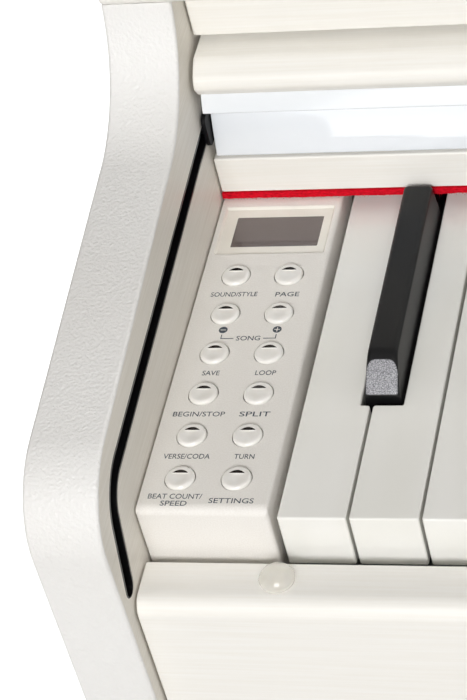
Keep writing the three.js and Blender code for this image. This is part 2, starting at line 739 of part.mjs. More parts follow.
function endBlockRight() {
  const shaft = rod(-BLOCK_MIDDLE, KNOB_Y, PLATE_UNDER - 1, BLOCK_TOP + 1, KNOB_SHAFT + BUTTON_FIT);
  const power = rod(-BLOCK_MIDDLE, POWER_Y, PLATE_UNDER - 1, BLOCK_TOP + 1, BUTTON_RADIUS + BUTTON_FIT);
  return cut(blockShell(), shaft, power);
}

// The volume knob: a plain cap on a shaft, with a pointer notch in its edge.
function volumeKnob() {
  const base = BLOCK_TOP + GAP;
  const cap = turned(
    [
      [0, PLATE_UNDER - 4],
      [KNOB_SHAFT, PLATE_UNDER - 4],
      [KNOB_SHAFT, base],
      [KNOB_RADIUS, base],
      [KNOB_RADIUS - 0.8, base + KNOB_HEIGHT - 0.8],
      [KNOB_RADIUS - 1.6, base + KNOB_HEIGHT],
      [0, base + KNOB_HEIGHT],
    ],
    BLOCK_MIDDLE,
    KNOB_Y,
    20,
  );
  const notch = box(
    BLOCK_MIDDLE - 0.6,
    BLOCK_MIDDLE + 0.6,
    KNOB_Y + KNOB_RADIUS * 0.4,
    KNOB_Y + KNOB_RADIUS + 1,
    base + KNOB_HEIGHT - 0.8,
    base + KNOB_HEIGHT + 1,
  );
  return cut(cap, notch);
}

// ---- Keys ---------------------------------------------------------------------------------------

const NOTES = 12;
const OCTAVE_WHITES = 7;
const WHITE_STEPS = [0, 2, 4, 5, 7, 9, 11]; // semitone of each white key of an octave from C
const BLACK_STEPS = [1, 3, 6, 8, 10];
const FIRST_WHITE = 5; // the lowest key is A, the sixth white key of its octave
const OCTAVE = OCTAVE_WHITES * WHITE_PITCH;

// Left edge of white key k, counted from 0 at the lowest A, and the middle of a black key. Behind their
// fronts the twelve keys of an octave share its width equally.
const whiteLeft = (k) => FIELD_LEFT + k * WHITE_PITCH;
const blackMiddle = (octave, step) =>
  whiteLeft(octave * OCTAVE_WHITES - FIRST_WHITE) + ((step + 0.5) * OCTAVE) / NOTES;

// Every black key, from A sharp 0 to A sharp 7.
const blackKeys = [...Array(8).keys()]
  .flatMap((octave) => BLACK_STEPS.map((step) => ({ octave, step, x: blackMiddle(octave, step) })))
  .filter(({ x }) => x > FIELD_LEFT && x < FIELD_LEFT + FIELD_WIDTH);

const slotHalf = BLACK_BASE_WIDTH / 2 + BLACK_CLEARANCE;

// A white key: its plan with the room for the black keys beside it, and its front face.
function whiteKey(k) {
  const left = whiteLeft(k);
  const right = left + WHITE_PITCH - KEY_GAP;
  const slotFront = BLACK_FRONT - BLACK_SILL;
  const near = blackKeys.filter(({ x }) => x > left - slotHalf && x < right + slotHalf);
  const middle = (left + right) / 2;
  const tailLeft = Math.max(left, ...near.filter(({ x }) => x < middle).map(({ x }) => x + slotHalf));
  const tailRight = Math.min(right, ...near.filter(({ x }) => x > middle).map(({ x }) => x - slotHalf));
  const plan = [
    [left, 0],
    [right, 0],
  ];
  if (tailRight < right) plan.push([right, slotFront], [tailRight, slotFront]);
  plan.push([tailRight, KEY_TAIL], [tailLeft, KEY_TAIL]);
  if (tailLeft > left) plan.push([tailLeft, slotFront], [left, slotFront]);
  const body = upright(roundedShape(plan), -WHITE_BODY, 0);
  const front = box(left, right, 0, 4, -WHITE_FRONT, -1);
  return joined(body, front);
}

// A black key: a tapered cap with a sloping front, on a tail that runs back under the nameboard.
function blackKey(x) {
  const side = acrossX(
    roundedShape([
      [BLACK_FRONT, BLACK_UNDER],
      [BLACK_BACK, BLACK_UNDER],
      [BLACK_BACK, BLACK_RISE],
      [BLACK_FRONT + BLACK_SLOPE, BLACK_RISE],
      [BLACK_FRONT, 2],
    ]),
    x - BLACK_BASE_WIDTH,
    x + BLACK_BASE_WIDTH,
  );
  const top = BLACK_TOP_WIDTH / 2;
  const base = BLACK_BASE_WIDTH / 2;
  const section = roundedShape([
    [-base, -WHITE_BODY],
    [base, -WHITE_BODY],
    [base, 0],
    [top, BLACK_RISE],
    [-top, BLACK_RISE],
    [-base, 0],
  ]);
  const prism = new THREE.ExtrudeGeometry(section, { depth: KEY_TAIL, bevelEnabled: false });
  prism.rotateX(Math.PI / 2).translate(x, KEY_TAIL, 0);
  const half = BLACK_TAIL_WIDTH / 2;
  const tail = box(x - half, x + half, BLACK_BACK - 1, KEY_TAIL, BLACK_UNDER, 0);
  return surface(solid(side).intersect(solid(prism)).add(solid(tail)));
}

// A section's white keys from k0 up to k1, joined by a bar under their tails.
function whiteSection(k0, k1) {
  const bar = box(
    whiteLeft(k0) + 1,
    whiteLeft(k1) - KEY_GAP - 1,
    KEY_TAIL - WEB,
    KEY_TAIL,
    -WHITE_BODY - WEB / 2,
    -WHITE_BODY + 1,
  );
  const keys = [];
  for (let k = k0; k < k1; k++) keys.push(whiteKey(k));
  return joined(bar, ...keys);
}

// A section's black keys, joined by a bar that stands on their tails, clear of the white tails.
function blackSection(octaves) {
  const places = blackKeys.filter(({ octave }) => octaves.includes(octave)).map(({ x }) => x);
  const half = BLACK_TAIL_WIDTH / 2;
  const y = KEY_TAIL - WEB;
  const bar = box(
    Math.min(...places) - half,
    Math.max(...places) + half,
    y,
    KEY_TAIL,
    WEB_CLEARANCE,
    WEB_CLEARANCE + 5,
  );
  const posts = places.map((x) => box(x - half, x + half, y, KEY_TAIL, -1, WEB_CLEARANCE + 1));
  return joined(bar, ...posts, ...places.map(blackKey));
}

// The chassis: a base plate, a front rail that stops the keys, the rail they pivot on, and a rear wall.
function keyFrame() {
  const x = FIELD_WIDTH / 2 - 1;
  const base = BED_TOP + GAP;
  return joined(
    box(-x, x, FRAME_FRONT, KEY_TAIL + FRAME_REACH, base, base + FRAME_BASE),
    box(-x, x, FRAME_FRONT, FRAME_FRONT + FRAME_STOP, base + 1, -WHITE_FRONT - 14),
    box(-x, x, FRAME_PIVOT_Y, FRAME_PIVOT_Y + FRAME_PIVOT, base + 1, -WHITE_BODY - 2),
    box(-x, x, KEY_TAIL + 4, KEY_TAIL + FRAME_REACH, base + 1, FRAME_TOP),
  );
}

// ---- Electronics --------------------------------------------------------------------------------

// The main circuit board on four feet, behind the key frame.
function mainBoard() {
  const rear = BACK_Y - BACK_BOARD - 12;
  const [x0, x1, y0, y1] = [-MAIN_WIDTH / 2, MAIN_WIDTH / 2, rear - MAIN_DEPTH, rear];
  const foot = BED_TOP + GAP;
  const base = foot + MAIN_FOOT;
  const feet = [x0 + 8, x1 - 8].flatMap((x) => [y0 + 8, y1 - 8].map((y) => rod(x, y, foot, base + 1, 3, 8)));
  const chips = [-60, -10, 50].map((x) => box(x, x + CHIP, y0 + 30, y0 + 30 + CHIP, base + PCB, base + 4));
  return joined(box(x0, x1, y0, y1, base, base + PCB + 0.5), ...feet, ...chips);
}

// A shallow loudspeaker in the key bed, facing down: flange, basket and magnet.
function speaker() {
  const face = -BED_DROP - GAP;
  const radius = SPEAKER_RADIUS - SPEAKER_FIT;
  return turned(
    [
      [0, face - 0.5],
      [MAGNET_RADIUS - 8, face + 1.5],
      [radius - 4, face - 1],
      [radius - 2, face - SPEAKER_PLATE],
      [radius + SPEAKER_FLANGE, face - SPEAKER_PLATE],
      [radius + SPEAKER_FLANGE, face],
      [radius, face],
      [radius, face + 4],
      [MAGNET_RADIUS, BED_TOP - 6],
      [MAGNET_RADIUS, BED_TOP - 0.5],
      [0, BED_TOP - 0.5],
    ],
    -SPEAKER_X,
    SPEAKER_Y,
    20,
  );
}

// ---- Pedals -------------------------------------------------------------------------------------

const boxRear = KICK_Y - GAP;
const boxFront = boxRear - PEDAL_BOX_DEPTH;
const pedalZ = FLOOR_Z + PEDAL_AXIS_Z;

function pedalBox() {
  const half = PEDAL_BOX_WIDTH / 2;
  const bottom = FLOOR_Z + PEDAL_BOX_BOTTOM;
  const top = bottom + PEDAL_BOX_HEIGHT;
  const shape = (inset, low) =>
    roundedShape([
      [boxFront + inset, low],
      [boxRear - inset, low],
      [boxRear - inset, top - inset],
      [boxFront + inset, top - inset, 8],
    ]);
  const outer = acrossX(shape(0, bottom), -half, half);
  const inner = acrossX(shape(PEDAL_BOX_WALL, bottom - 1), -half + PEDAL_BOX_WALL, half - PEDAL_BOX_WALL);
  const slot = PEDAL_WIDTH / 2 + PEDAL_CLEARANCE;
  const slots = [-1, 0, 1].map((i) =>
    box(
      i * PEDAL_PITCH - slot,
      i * PEDAL_PITCH + slot,
      boxFront - 1,
      boxFront + PEDAL_BOX_WALL + 6,
      pedalZ - PEDAL_THICKNESS / 2 - PEDAL_TRAVEL - PEDAL_CLEARANCE,
      pedalZ + PEDAL_THICKNESS / 2 + PEDAL_CLEARANCE,
    ),
  );
  const y = boxRear - PEDAL_BOX_DEPTH / 2;
  const bridge = box(ADJUSTER_X - 12, ADJUSTER_X + 12, boxFront + 1, boxRear - 1, bottom, bottom + BRIDGE);
  const thread = rod(ADJUSTER_X, y, bottom - 1, bottom + BRIDGE + 1, ADJUSTER_STEM + 0.4);
  return cut(joined(cut(outer, inner, ...slots), bridge), thread);
}

// A pedal: a bar that widens to a rounded shoe in front of the box, on a cross pin at its rear end.
function pedal(x) {
  const front = boxFront - PEDAL_REACH;
  const rear = boxRear - PEDAL_BOX_WALL - 12;
  const wide = PEDAL_WIDTH / 2;
  const narrow = wide * 0.6;
  const plan = roundedShape([
    [x - wide, front, wide * 0.9],
    [x + wide, front, wide * 0.9],
    [x + wide, boxFront - 20, 10],
    [x + narrow, boxFront + 10, 10],
    [x + narrow, rear],
    [x - narrow, rear],
    [x - narrow, boxFront + 10, 10],
    [x - wide, boxFront - 20, 10],
  ]);
  const half = PEDAL_THICKNESS / 2;
  const bar = upright(plan, pedalZ - half, pedalZ + half, 3);
  const pin = axle(x - wide - 4, x + wide + 4, rear - 6, pedalZ, half - 1, 12);
  return joined(bar, pin);
}

// The screw foot under the pedal box.
function pedalAdjuster() {
  const low = FLOOR_Z + ADJUSTER_LIFT;
  const high = FLOOR_Z + PEDAL_BOX_BOTTOM + 20;
  const profile = [
    [0, low],
    [ADJUSTER_RADIUS - 1, low],
    [ADJUSTER_RADIUS, low + 1],
    [ADJUSTER_RADIUS, low + ADJUSTER_HEIGHT - 1],
    [ADJUSTER_RADIUS - 1, low + ADJUSTER_HEIGHT],
    [ADJUSTER_STEM, low + ADJUSTER_HEIGHT],
    [ADJUSTER_STEM, high],
    [0, high],
  ];
  return turned(profile, ADJUSTER_X, boxRear - PEDAL_BOX_DEPTH / 2, 16);
}

// ---- Music rest ---------------------------------------------------------------------------------

// The desk with its ledge, drawn upright about its hinge, the desk's lower rear edge, and then leant back.
function musicRest() {
  const half = REST_WIDTH / 2;
  const edge = 30;
  const plan = roundedShape([
    [-half, 0],
    [half, 0],
    [half, REST_HEIGHT, edge],
    [-half, REST_HEIGHT, edge],
  ]);
  const desk = new THREE.ExtrudeGeometry(plan, { depth: REST_THICKNESS, bevelEnabled: false });
  desk.rotateX(Math.PI / 2);
  const front = -REST_THICKNESS - LEDGE_DEPTH;
  const ledge = box(-half, half, front, 1 - REST_THICKNESS, 0, REST_THICKNESS);
  const stop = box(-half, half, front, front + 5, 1, REST_THICKNESS + 6);
  return joined(desk, ledge, stop);
}

// ---- Assembly -----------------------------------------------------------------------------------

placePair("side_panel", sidePanel(), embossed);
placePair("guide_rail", guideRail(), railBlack);
place("top_board", topBoard(), foil);
place("upper_front_panel", upperFrontPanel(), foil);
place("rear_panel", rearPanel(), embossed);
place("jack_panel", jackPanel(), darkPlastic);
place("key_bed", keyBed(), foil);
place("key_slip", keySlip(), foil);
place("nameboard", nameboard(), foil);
place("felt_strip", feltStrip(), redFelt);
place("kick_board", kickBoard(), foil);
place("pedal_rail", pedalRail(), foil);
placePair("bumper", bumper(), clearRubber);

place("cover_board", coverBoard(), foil);
place("cover_nose", coverNose(), foil);
place("cover_lip", coverLip(), glossWhite);
placePair("cover_carriage", coverCarriage(), steel);

place("control_block", controlBlock(), moulded);
place("display_window", displayWindow(), displayGlass);
place("lcd_module", displayModule(), darkPlastic);
place("control_pcb", controlBoard(), circuit);
for (const { x, y, name } of buttonPlaces) place(name, pushButton(x, y), buttonWhite);
place("end_block_right", endBlockRight(), moulded).scale.x = -1;
place("power_button", pushButton(BLOCK_MIDDLE, POWER_Y), buttonWhite);
place("volume_knob", volumeKnob(), buttonWhite);

place("key_a0", whiteKey(0), keyWhite);
place("key_b0", whiteKey(1), keyWhite);
place("key_c1", whiteKey(2), keyWhite);
place("key_a_sharp0", blackKey(blackKeys[0].x), keyBlack);
place("white_keys_low", whiteSection(3, 16), keyWhite);
place("white_keys_middle", whiteSection(16, 37), keyWhite);
place("white_keys_high", whiteSection(37, WHITE_COUNT), keyWhite);
place("black_keys_low", blackSection([1, 2]), keyBlack);
place("black_keys_middle", blackSection([3, 4, 5]), keyBlack);
place("black_keys_high", blackSection([6, 7]), keyBlack);
place("key_frame", keyFrame(), steel);

place("main_board", mainBoard(), circuit);
placePair("speaker", speaker(), darkPlastic);

place("pedal_box", pedalBox(), darkPlastic);
place("pedal_soft", pedal(-PEDAL_PITCH), brass);
place("pedal_sostenuto", pedal(0), brass);
place("pedal_sustain", pedal(PEDAL_PITCH), brass);
place("pedal_adjuster", pedalAdjuster(), darkPlastic);

const rest = place("music_rest", musicRest(), foil);
rest.position.set(0, BACK_Y - REST_FROM_BACK, LID_RISE + REST_GAP);
rest.rotation.x = -REST_LEAN;

export default piano;
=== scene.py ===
"""A white cabinet digital piano with a sliding key cover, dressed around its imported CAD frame.

Lengths in this file are millimetres in the deck frame: x runs to the player's right from the middle of
the cabinet, y runs back from the white keys' front edge, z runs up from their tops. deck_to_frame turns
them into the metres of the CAD frame.
"""

import json
import math

import bmesh
import bpy
import numpy as np
from mathutils import Matrix, Vector
from mathutils.geometry import tessellate_polygon


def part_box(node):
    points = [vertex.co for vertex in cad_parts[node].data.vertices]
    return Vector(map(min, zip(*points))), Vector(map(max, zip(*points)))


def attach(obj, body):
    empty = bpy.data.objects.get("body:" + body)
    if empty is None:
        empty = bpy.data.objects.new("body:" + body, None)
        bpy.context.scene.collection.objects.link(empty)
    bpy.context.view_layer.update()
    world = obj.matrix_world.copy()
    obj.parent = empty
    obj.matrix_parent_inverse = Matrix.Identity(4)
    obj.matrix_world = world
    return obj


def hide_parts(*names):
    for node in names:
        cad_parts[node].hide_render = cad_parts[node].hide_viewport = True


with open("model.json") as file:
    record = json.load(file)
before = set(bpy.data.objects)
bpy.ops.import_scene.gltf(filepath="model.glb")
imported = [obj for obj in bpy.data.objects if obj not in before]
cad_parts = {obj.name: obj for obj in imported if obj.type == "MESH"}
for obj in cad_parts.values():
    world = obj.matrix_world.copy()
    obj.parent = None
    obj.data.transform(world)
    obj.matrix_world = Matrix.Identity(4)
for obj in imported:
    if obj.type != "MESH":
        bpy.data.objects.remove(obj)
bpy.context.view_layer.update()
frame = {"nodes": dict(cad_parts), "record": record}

# ---- Driving dimensions ---------------------------------------------------------------------------

KEY_A0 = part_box("key_a0")
DECK_ORIGIN = np.array([0.0, KEY_A0[0].y, KEY_A0[1].z])


def node_box(name):
    """A CAD node's lowest and highest corners in the deck frame, in millimetres."""
    return [(np.array(corner) - DECK_ORIGIN) * 1000 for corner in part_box(name)]


PANEL_LOW, PANEL_HIGH = node_box("side_panel_left")
HALF_WIDTH = -PANEL_LOW[0]
INNER_X = -PANEL_HIGH[0]
FLOOR_Z = PANEL_LOW[2]
PANEL_TOP = PANEL_HIGH[2]
FRONT_Y = PANEL_LOW[1]
BACK_Y = PANEL_HIGH[1]

WHITE_COUNT = 52
WHITE_PITCH = 23.6
KEY_GAP = 1.0
FIELD_LEFT = node_box("key_a0")[0][0]
KEY_TAIL = node_box("key_a0")[1][1]
BLACK_FRONT = 52.0
BLACK_BACK = 144.5
BLACK_RISE = 12.0
WHITE_BODY = 14.0
WHITE_FRONT = 22.0  # height of a white key's front face
SLOT_HALF = 7.15  # from the middle of a black key to the white key beside it
SLOT_FRONT = 50.0

# ---- Meshes ---------------------------------------------------------------------------------------

CHORD_ERROR = 0.015  # how far a flat facet may stray from the arc that it stands for
ROOM = 0.3  # between pieces that touch


def deck_to_frame(points):
    """Deck-frame points in the metres of the CAD frame."""
    return np.asarray(points, float) / 1000 + DECK_ORIGIN


def merge(mesh, flatten=False):
    """Joins points closer than a micrometre, and with flatten also faces that lie in one plane."""
    loose = bmesh.new()
    loose.from_mesh(mesh)
    bmesh.ops.remove_doubles(loose, verts=loose.verts, dist=1e-6)
    if flatten:
        bmesh.ops.dissolve_limit(loose, angle_limit=math.radians(1), verts=loose.verts, edges=loose.edges)
    loose.to_mesh(mesh)
    loose.free()


def settle(name, mesh, body, replaces=()):
    """Puts a mesh in the scene as a piece that rides on a body, and may replace CAD nodes."""
    piece = bpy.data.objects.new(name, mesh)
    bpy.context.scene.collection.objects.link(piece)
    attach(piece, body)
    if replaces:
        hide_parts(*replaces)
    return piece


class Heap:
    """Points and faces of several shapes, gathered into one mesh."""

    def __init__(self):
        self.points, self.faces, self.flat, self.marks, self.count = [], [], [], [], 0

    def add(self, points, faces, flat=(), mark=0):
        """Adds a shape. flat counts from its first face, and mark is its material's place in the list."""
        self.flat += [len(self.faces) + i for i in flat]
        self.faces += [[int(i) + self.count for i in face] for face in faces]
        self.marks += [mark] * len(faces)
        self.points.append(np.asarray(points, float))
        self.count += len(points)
        return self

    def join(self, other):
        """Adds every shape of another heap."""
        self.flat += [len(self.faces) + i for i in other.flat]
        self.faces += [[i + self.count for i in face] for face in other.faces]
        self.marks += other.marks
        self.points += other.points
        self.count += other.count
        return self

    def moved(self, change, flips=False):
        """A copy whose points are changed by a function. flips says that it turns shapes inside out."""
        copy = Heap()
        copy.points = [change(p) for p in self.points]
        copy.faces = [face[::-1] for face in self.faces] if flips else list(self.faces)
        copy.flat, copy.marks, copy.count = list(self.flat), list(self.marks), self.count
        return copy

    def mirrored(self):
        """A copy on the other side of x = 0."""
        return self.moved(lambda p: p * [-1, 1, 1], flips=True)

    def build(self, name, material, body, slot, replaces=(), sharp=38, values=None):
        """Makes one piece of the shapes, in one material or in a list of them. Coincident points are
        merged, edges sharper than sharp degrees stay sharp, and a point's normal leans to its larger
        faces, so that a wide face beside a small fillet looks level. values are attributes, each with
        a number for every point."""
        mesh = bpy.data.meshes.new(name)
        mesh.from_pydata(deck_to_frame(np.vstack(self.points)).tolist(), [], self.faces)
        for finish in material if isinstance(material, list) else [material]:
            mesh.materials.append(finish)
        smooth = np.ones(len(mesh.polygons), bool)
        smooth[self.flat] = False
        mesh.polygons.foreach_set("use_smooth", smooth)
        mesh.polygons.foreach_set("material_index", np.asarray(self.marks, np.int32))
        for attribute, numbers in (values or {}).items():
            mesh.attributes.new(attribute, "FLOAT", "POINT").data.foreach_set("value", numbers)
        merge(mesh)
        mesh.set_sharp_from_angle(angle=math.radians(sharp))
        piece = settle(name, mesh, body, replaces)
        normals = piece.modifiers.new("normals", "WEIGHTED_NORMAL")
        normals.keep_sharp = True

    def finish(self, node, material, body, slot, **rest):
        """Makes the piece that replaces a CAD node."""
        self.build(f"{node}_finish", material, body, slot, [node], **rest)


def build_pair(heap, name, material, body, slot, **rest):
    """A piece drawn at the left, and its mirror image at the right."""
    for side, shape in (("left", heap), ("right", heap.mirrored())):
        shape.finish(f"{name}_{side}", material, body, slot, **rest)


def strip_faces(rows, columns, start=0):
    """Quads between successive rows of a grid of points, whose last column meets the first."""
    r, c = np.meshgrid(np.arange(rows - 1), np.arange(columns), indexing="ij")
    n = (c + 1) % columns
    quads = np.stack([r * columns + c, r * columns + n, (r + 1) * columns + n, (r + 1) * columns + c], -1)
    return (quads.reshape(-1, 4) + start).tolist()


def arc(centre, radius, start, end):
    """Points at equal angles along an arc, close enough to keep within CHORD_ERROR."""
    step = math.sqrt(8 * CHORD_ERROR / radius)
    angle = np.linspace(start, end, 1 + max(3, math.ceil(abs(end - start) / step)))
    return np.asarray(centre) + radius * np.stack([np.cos(angle), np.sin(angle)], -1)


def rounded(corners):
    """A closed outline from corners (x, y, radius), anticlockwise: an arc that touches both of a
    corner's sides takes its place. Its centre lies radius / sin(half the corner's angle) along the
    line that halves the angle."""
    points = []
    for i, corner in enumerate(corners):
        here = np.array(corner[:2], float)
        radius = corner[2] if len(corner) > 2 else 0
        if not radius:
            points.append(here[None])
            continue
        before = np.array(corners[i - 1][:2], float) - here
        after = np.array(corners[(i + 1) % len(corners)][:2], float) - here
        before /= np.linalg.norm(before)
        after /= np.linalg.norm(after)
        half = math.acos(np.clip(before @ after, -1, 1)) / 2
        middle = (before + after) / np.linalg.norm(before + after)
        centre = here + middle * radius / math.sin(half)
        first = here + before * radius / math.tan(half) - centre
        sweep = math.copysign(math.pi - 2 * half, before[1] * after[0] - before[0] * after[1])
        start = math.atan2(first[1], first[0])
        points.append(arc(centre, radius, start, start + sweep))
    return np.vstack(points)


def rectangle(x, y, radius=0.0):
    """A rectangle's outline between two pairs of limits, with round corners."""
    return rounded([(x[0], y[0], radius), (x[1], y[0], radius), (x[1], y[1], radius), (x[0], y[1], radius)])


def turn(angle):
    """The matrix that turns row points by an angle, anticlockwise."""
    return np.array([[math.cos(angle), math.sin(angle)], [-math.sin(angle), math.cos(angle)]])


def circle(x, y, radius, sides=32):
    """A circle's outline, anticlockwise."""
    angle = np.linspace(0, 2 * math.pi, sides, endpoint=False)
    return np.stack([x + radius * np.cos(angle), y + radius * np.sin(angle)], -1)


def inset(outline, distance):
    """The outline moved inwards: each point moves along its mitre, the sum of the normals of its two
    sides over one plus their dot product."""
    ahead = np.roll(outline, -1, 0) - outline
    ahead /= np.maximum(np.linalg.norm(ahead, axis=1, keepdims=True), 1e-9)
    normal = np.stack([-ahead[:, 1], ahead[:, 0]], -1)
    previous = np.roll(normal, 1, 0)
    mitre = (normal + previous) / (1 + np.sum(normal * previous, 1, keepdims=True))
    return outline + mitre * distance


AXES = {"x": (1, 2, 0), "y": (2, 0, 1), "z": (0, 1, 2)}  # where outline x, outline y and height go


def lift(outline, height, axis):
    """Outline points at a height along an axis, as deck-frame points."""
    points = np.empty((len(outline), 3))
    for source, target in zip((outline[:, 0], outline[:, 1], height), AXES[axis]):
        points[:, target] = source
    return points


def cap(heap, outline, height, axis="z", holes=(), mark=0):
    """A flat face that looks along the axis, filled by triangles where it has holes. holes are
    (outline, depth): openings with straight walls, and a floor unless depth is negative."""
    points, faces = [lift(outline, height, axis)], []
    for hole, depth in holes:
        at = sum(len(p) for p in points)
        points += [lift(hole, height, axis), lift(hole, height - abs(depth), axis)]
        faces += [face[::-1] for face in strip_faces(2, len(hole), start=at)][::-1]
        if depth > 0:
            faces.append(list(range(at + len(hole), at + 2 * len(hole))))
    if not holes:
        return heap.add(points[0], [list(range(len(outline)))], [0], mark)
    loops = [outline] + [hole for hole, _ in holes]
    index = list(range(len(outline)))
    at = len(outline)
    for hole, _ in holes:
        index += range(at, at + len(hole))
        at += 2 * len(hole)
    plane = np.vstack(loops)
    corners = np.array(tessellate_polygon([[Vector((x, y, 0)) for x, y in loop] for loop in loops]))
    one, two = plane[corners[:, 1]] - plane[corners[:, 0]], plane[corners[:, 2]] - plane[corners[:, 0]]
    area = one[:, 0] * two[:, 1] - one[:, 1] * two[:, 0]
    corners[area < 0] = corners[area < 0][:, ::-1]
    triangles = np.array(index)[corners[abs(area) > 1e-9]].tolist()
    return heap.add(np.vstack(points), triangles + faces, range(len(triangles)), mark)


def stack(heap, rings, axis="z", holes=(), mark=0, top_mark=None):
    """A closed shape from rings (outline, height), lowest first, joined by quads and capped. A height
    is one number, or one for each point. The holes are in the top cap, which may have its own mark."""
    count = len(rings[0][0])
    points = np.vstack([lift(outline, height, axis) for outline, height in rings])
    heap.add(points, strip_faces(len(rings), count), mark=mark)
    heap.add(points[:count], [list(range(count))[::-1]], [0], mark)
    top_mark = mark if top_mark is None else top_mark
    return cap(heap, rings[-1][0], float(np.max(rings[-1][1])), axis, holes, top_mark)


def slab(heap, outline, low, high, edge, axis="z", low_edge=None, steps=3, **rest):
    """A solid between two heights with rounded rims: a quarter circle in which the outline is inset by
    edge (1 - cos t) as the height nears the cap by edge sin t."""
    low_edge = edge if low_edge is None else low_edge
    quarter = np.linspace(0, math.pi / 2, steps + 1)
    shares = [(1 - math.cos(t), 1 - math.sin(t)) for t in quarter]
    rings = [(inset(outline, low_edge * inwards), low + low_edge * away) for inwards, away in shares[::-1]]
    rings += [(inset(outline, edge * inwards), high - edge * away) for inwards, away in shares]
    return stack(heap, rings, axis, **rest)


def board(heap, x, y, z, edge):
    """A rectangular board between three pairs of limits, with every edge rounded alike."""
    return slab(heap, rectangle(y, z, edge), x[0], x[1], edge, "x")


def turned(heap, profile, x, y, sides=40, marks=None):
    """A surface of revolution about the vertical through (x, y): the profile's (radius, height) points,
    lowest first and both ends on the axis, repeated at equal angles. marks gives each band's material."""
    profile = np.asarray(profile, float)
    inner = profile[1:-1]
    angle = np.linspace(0, 2 * math.pi, sides, endpoint=False)
    rings = np.empty((len(inner), sides, 3))
    rings[..., 0] = x + inner[:, :1] * np.cos(angle)
    rings[..., 1] = y + inner[:, :1] * np.sin(angle)
    rings[..., 2] = inner[:, 1:]
    points = np.vstack([[[x, y, profile[0, 1]]], rings.reshape(-1, 3), [[x, y, profile[-1, 1]]]])
    n = np.arange(sides)
    last = 1 + (len(inner) - 1) * sides
    under = np.stack([np.zeros(sides, int), 1 + (n + 1) % sides, 1 + n], -1).tolist()
    over = np.stack([np.full(sides, len(points) - 1), last + n, last + (n + 1) % sides], -1).tolist()
    bands = strip_faces(len(inner), sides, start=1)
    start = len(heap.marks)
    heap.add(points, under + bands + over)
    if marks is not None:
        heap.marks[start:] = np.repeat(marks, sides).tolist()
    return heap


def fillet(centre, radius, start, end, steps=6):
    """Profile points along an arc, with angles in degrees from the profile's outward direction."""
    angle = np.radians(np.linspace(start, end, steps + 1))
    return np.stack([centre[0] + radius * np.cos(angle), centre[1] + radius * np.sin(angle)], -1).tolist()


def softened(node, width, material, body, segments=2):
    """A finer copy of a CAD node: its triangles are merged into flat faces, and a bevel of a width in
    millimetres rounds the edges between them."""
    mesh = frame["nodes"][node].data.copy()
    mesh.name = f"{node}_finish"
    merge(mesh, flatten=True)
    mesh.materials.clear()
    mesh.materials.append(material)
    mesh.shade_smooth()
    piece = settle(f"{node}_finish", mesh, body, [node])
    bevel = piece.modifiers.new("edges", "BEVEL")
    bevel.width = width / 1000
    bevel.segments = segments
    bevel.limit_method = "ANGLE"
    bevel.angle_limit = math.radians(30)
    bevel.harden_normals = True


# ---- Materials ------------------------------------------------------------------------------------


def linear(code, alpha=1.0):
    """An sRGB hex colour as linear red, green, blue and alpha."""
    values = [int(code[i : i + 2], 16) / 255 for i in (0, 2, 4)]
    return [v / 12.92 if v <= 0.04045 else ((v + 0.055) / 1.055) ** 2.4 for v in values] + [alpha]


def add(tree, kind, inputs=None, **settings):
    """A node with its settings. An input is a value, or a socket to link from."""
    made = tree.nodes.new(kind)
    for key, value in settings.items():
        setattr(made, key, value)
    for key, value in (inputs or {}).items():
        socket = made.inputs[key]
        if isinstance(value, bpy.types.NodeSocket):
            tree.links.new(value, socket)
        else:
            socket.default_value = value
    return made


def shader(name, **values):
    """A new material with one principled shader, and its tree and shader node."""
    material = bpy.data.materials.new(name)
    material.use_nodes = True
    tree = material.node_tree
    tree.nodes.clear()
    made = add(tree, "ShaderNodeBsdfPrincipled", {k.replace("_", " "): v for k, v in values.items()})
    add(tree, "ShaderNodeOutputMaterial", {"Surface": made.outputs[0]})
    return material, tree, made


def stretched(tree, stretch=(1, 1, 1)):
    """Object coordinates, stretched by a factor along each axis."""
    place = add(tree, "ShaderNodeTexCoord").outputs["Object"]
    return add(tree, "ShaderNodeMapping", {"Vector": place, "Scale": [1 / s for s in stretch]}).outputs[0]


def noise(tree, scale, detail=1, stretch=(1, 1, 1)):
    """A noise pattern, stretched along the axes. Its crests are about a metre over its scale apart."""
    inputs = {"Vector": stretched(tree, stretch), "Scale": scale, "Detail": detail}
    return add(tree, "ShaderNodeTexNoise", inputs).outputs[0]


def ramp(tree, fraction, *stops):
    """A colour from a ramp over a fraction: stops are (position, hex colour)."""
    made = add(tree, "ShaderNodeValToRGB", {"Fac": fraction})
    while len(made.color_ramp.elements) < len(stops):
        made.color_ramp.elements.new(0.5)
    for element, (position, code) in zip(made.color_ramp.elements, stops):
        element.position = position
        element.color = linear(code)
    return made.outputs["Color"]


def tint(tree, made, fraction, *stops):
    """Links a ramp to the shader's base colour."""
    tree.links.new(ramp(tree, fraction, *stops), made.inputs["Base Color"])


def relief(tree, made, height, depth, strength):
    """A bump on the shader: height is a pattern from 0 to 1, depth its full height in millimetres."""
    bump = add(tree, "ShaderNodeBump", {"Height": height, "Distance": depth / 1000, "Strength": strength})
    tree.links.new(bump.outputs[0], made.inputs["Normal"])


def patterned(name, scale, shades, detail=1, stretch=(1, 1, 1), bump=None, **values):
    """A material whose colour runs between two shades along one noise pattern, with the pattern in
    relief where bump gives its depth in millimetres and its strength."""
    material, tree, made = shader(name, **values)
    pattern = noise(tree, scale, detail, stretch=stretch)
    tint(tree, made, pattern, (0.3, shades[0]), (0.7, shades[1]))
    if bump:
        relief(tree, made, pattern, *bump)
    return material


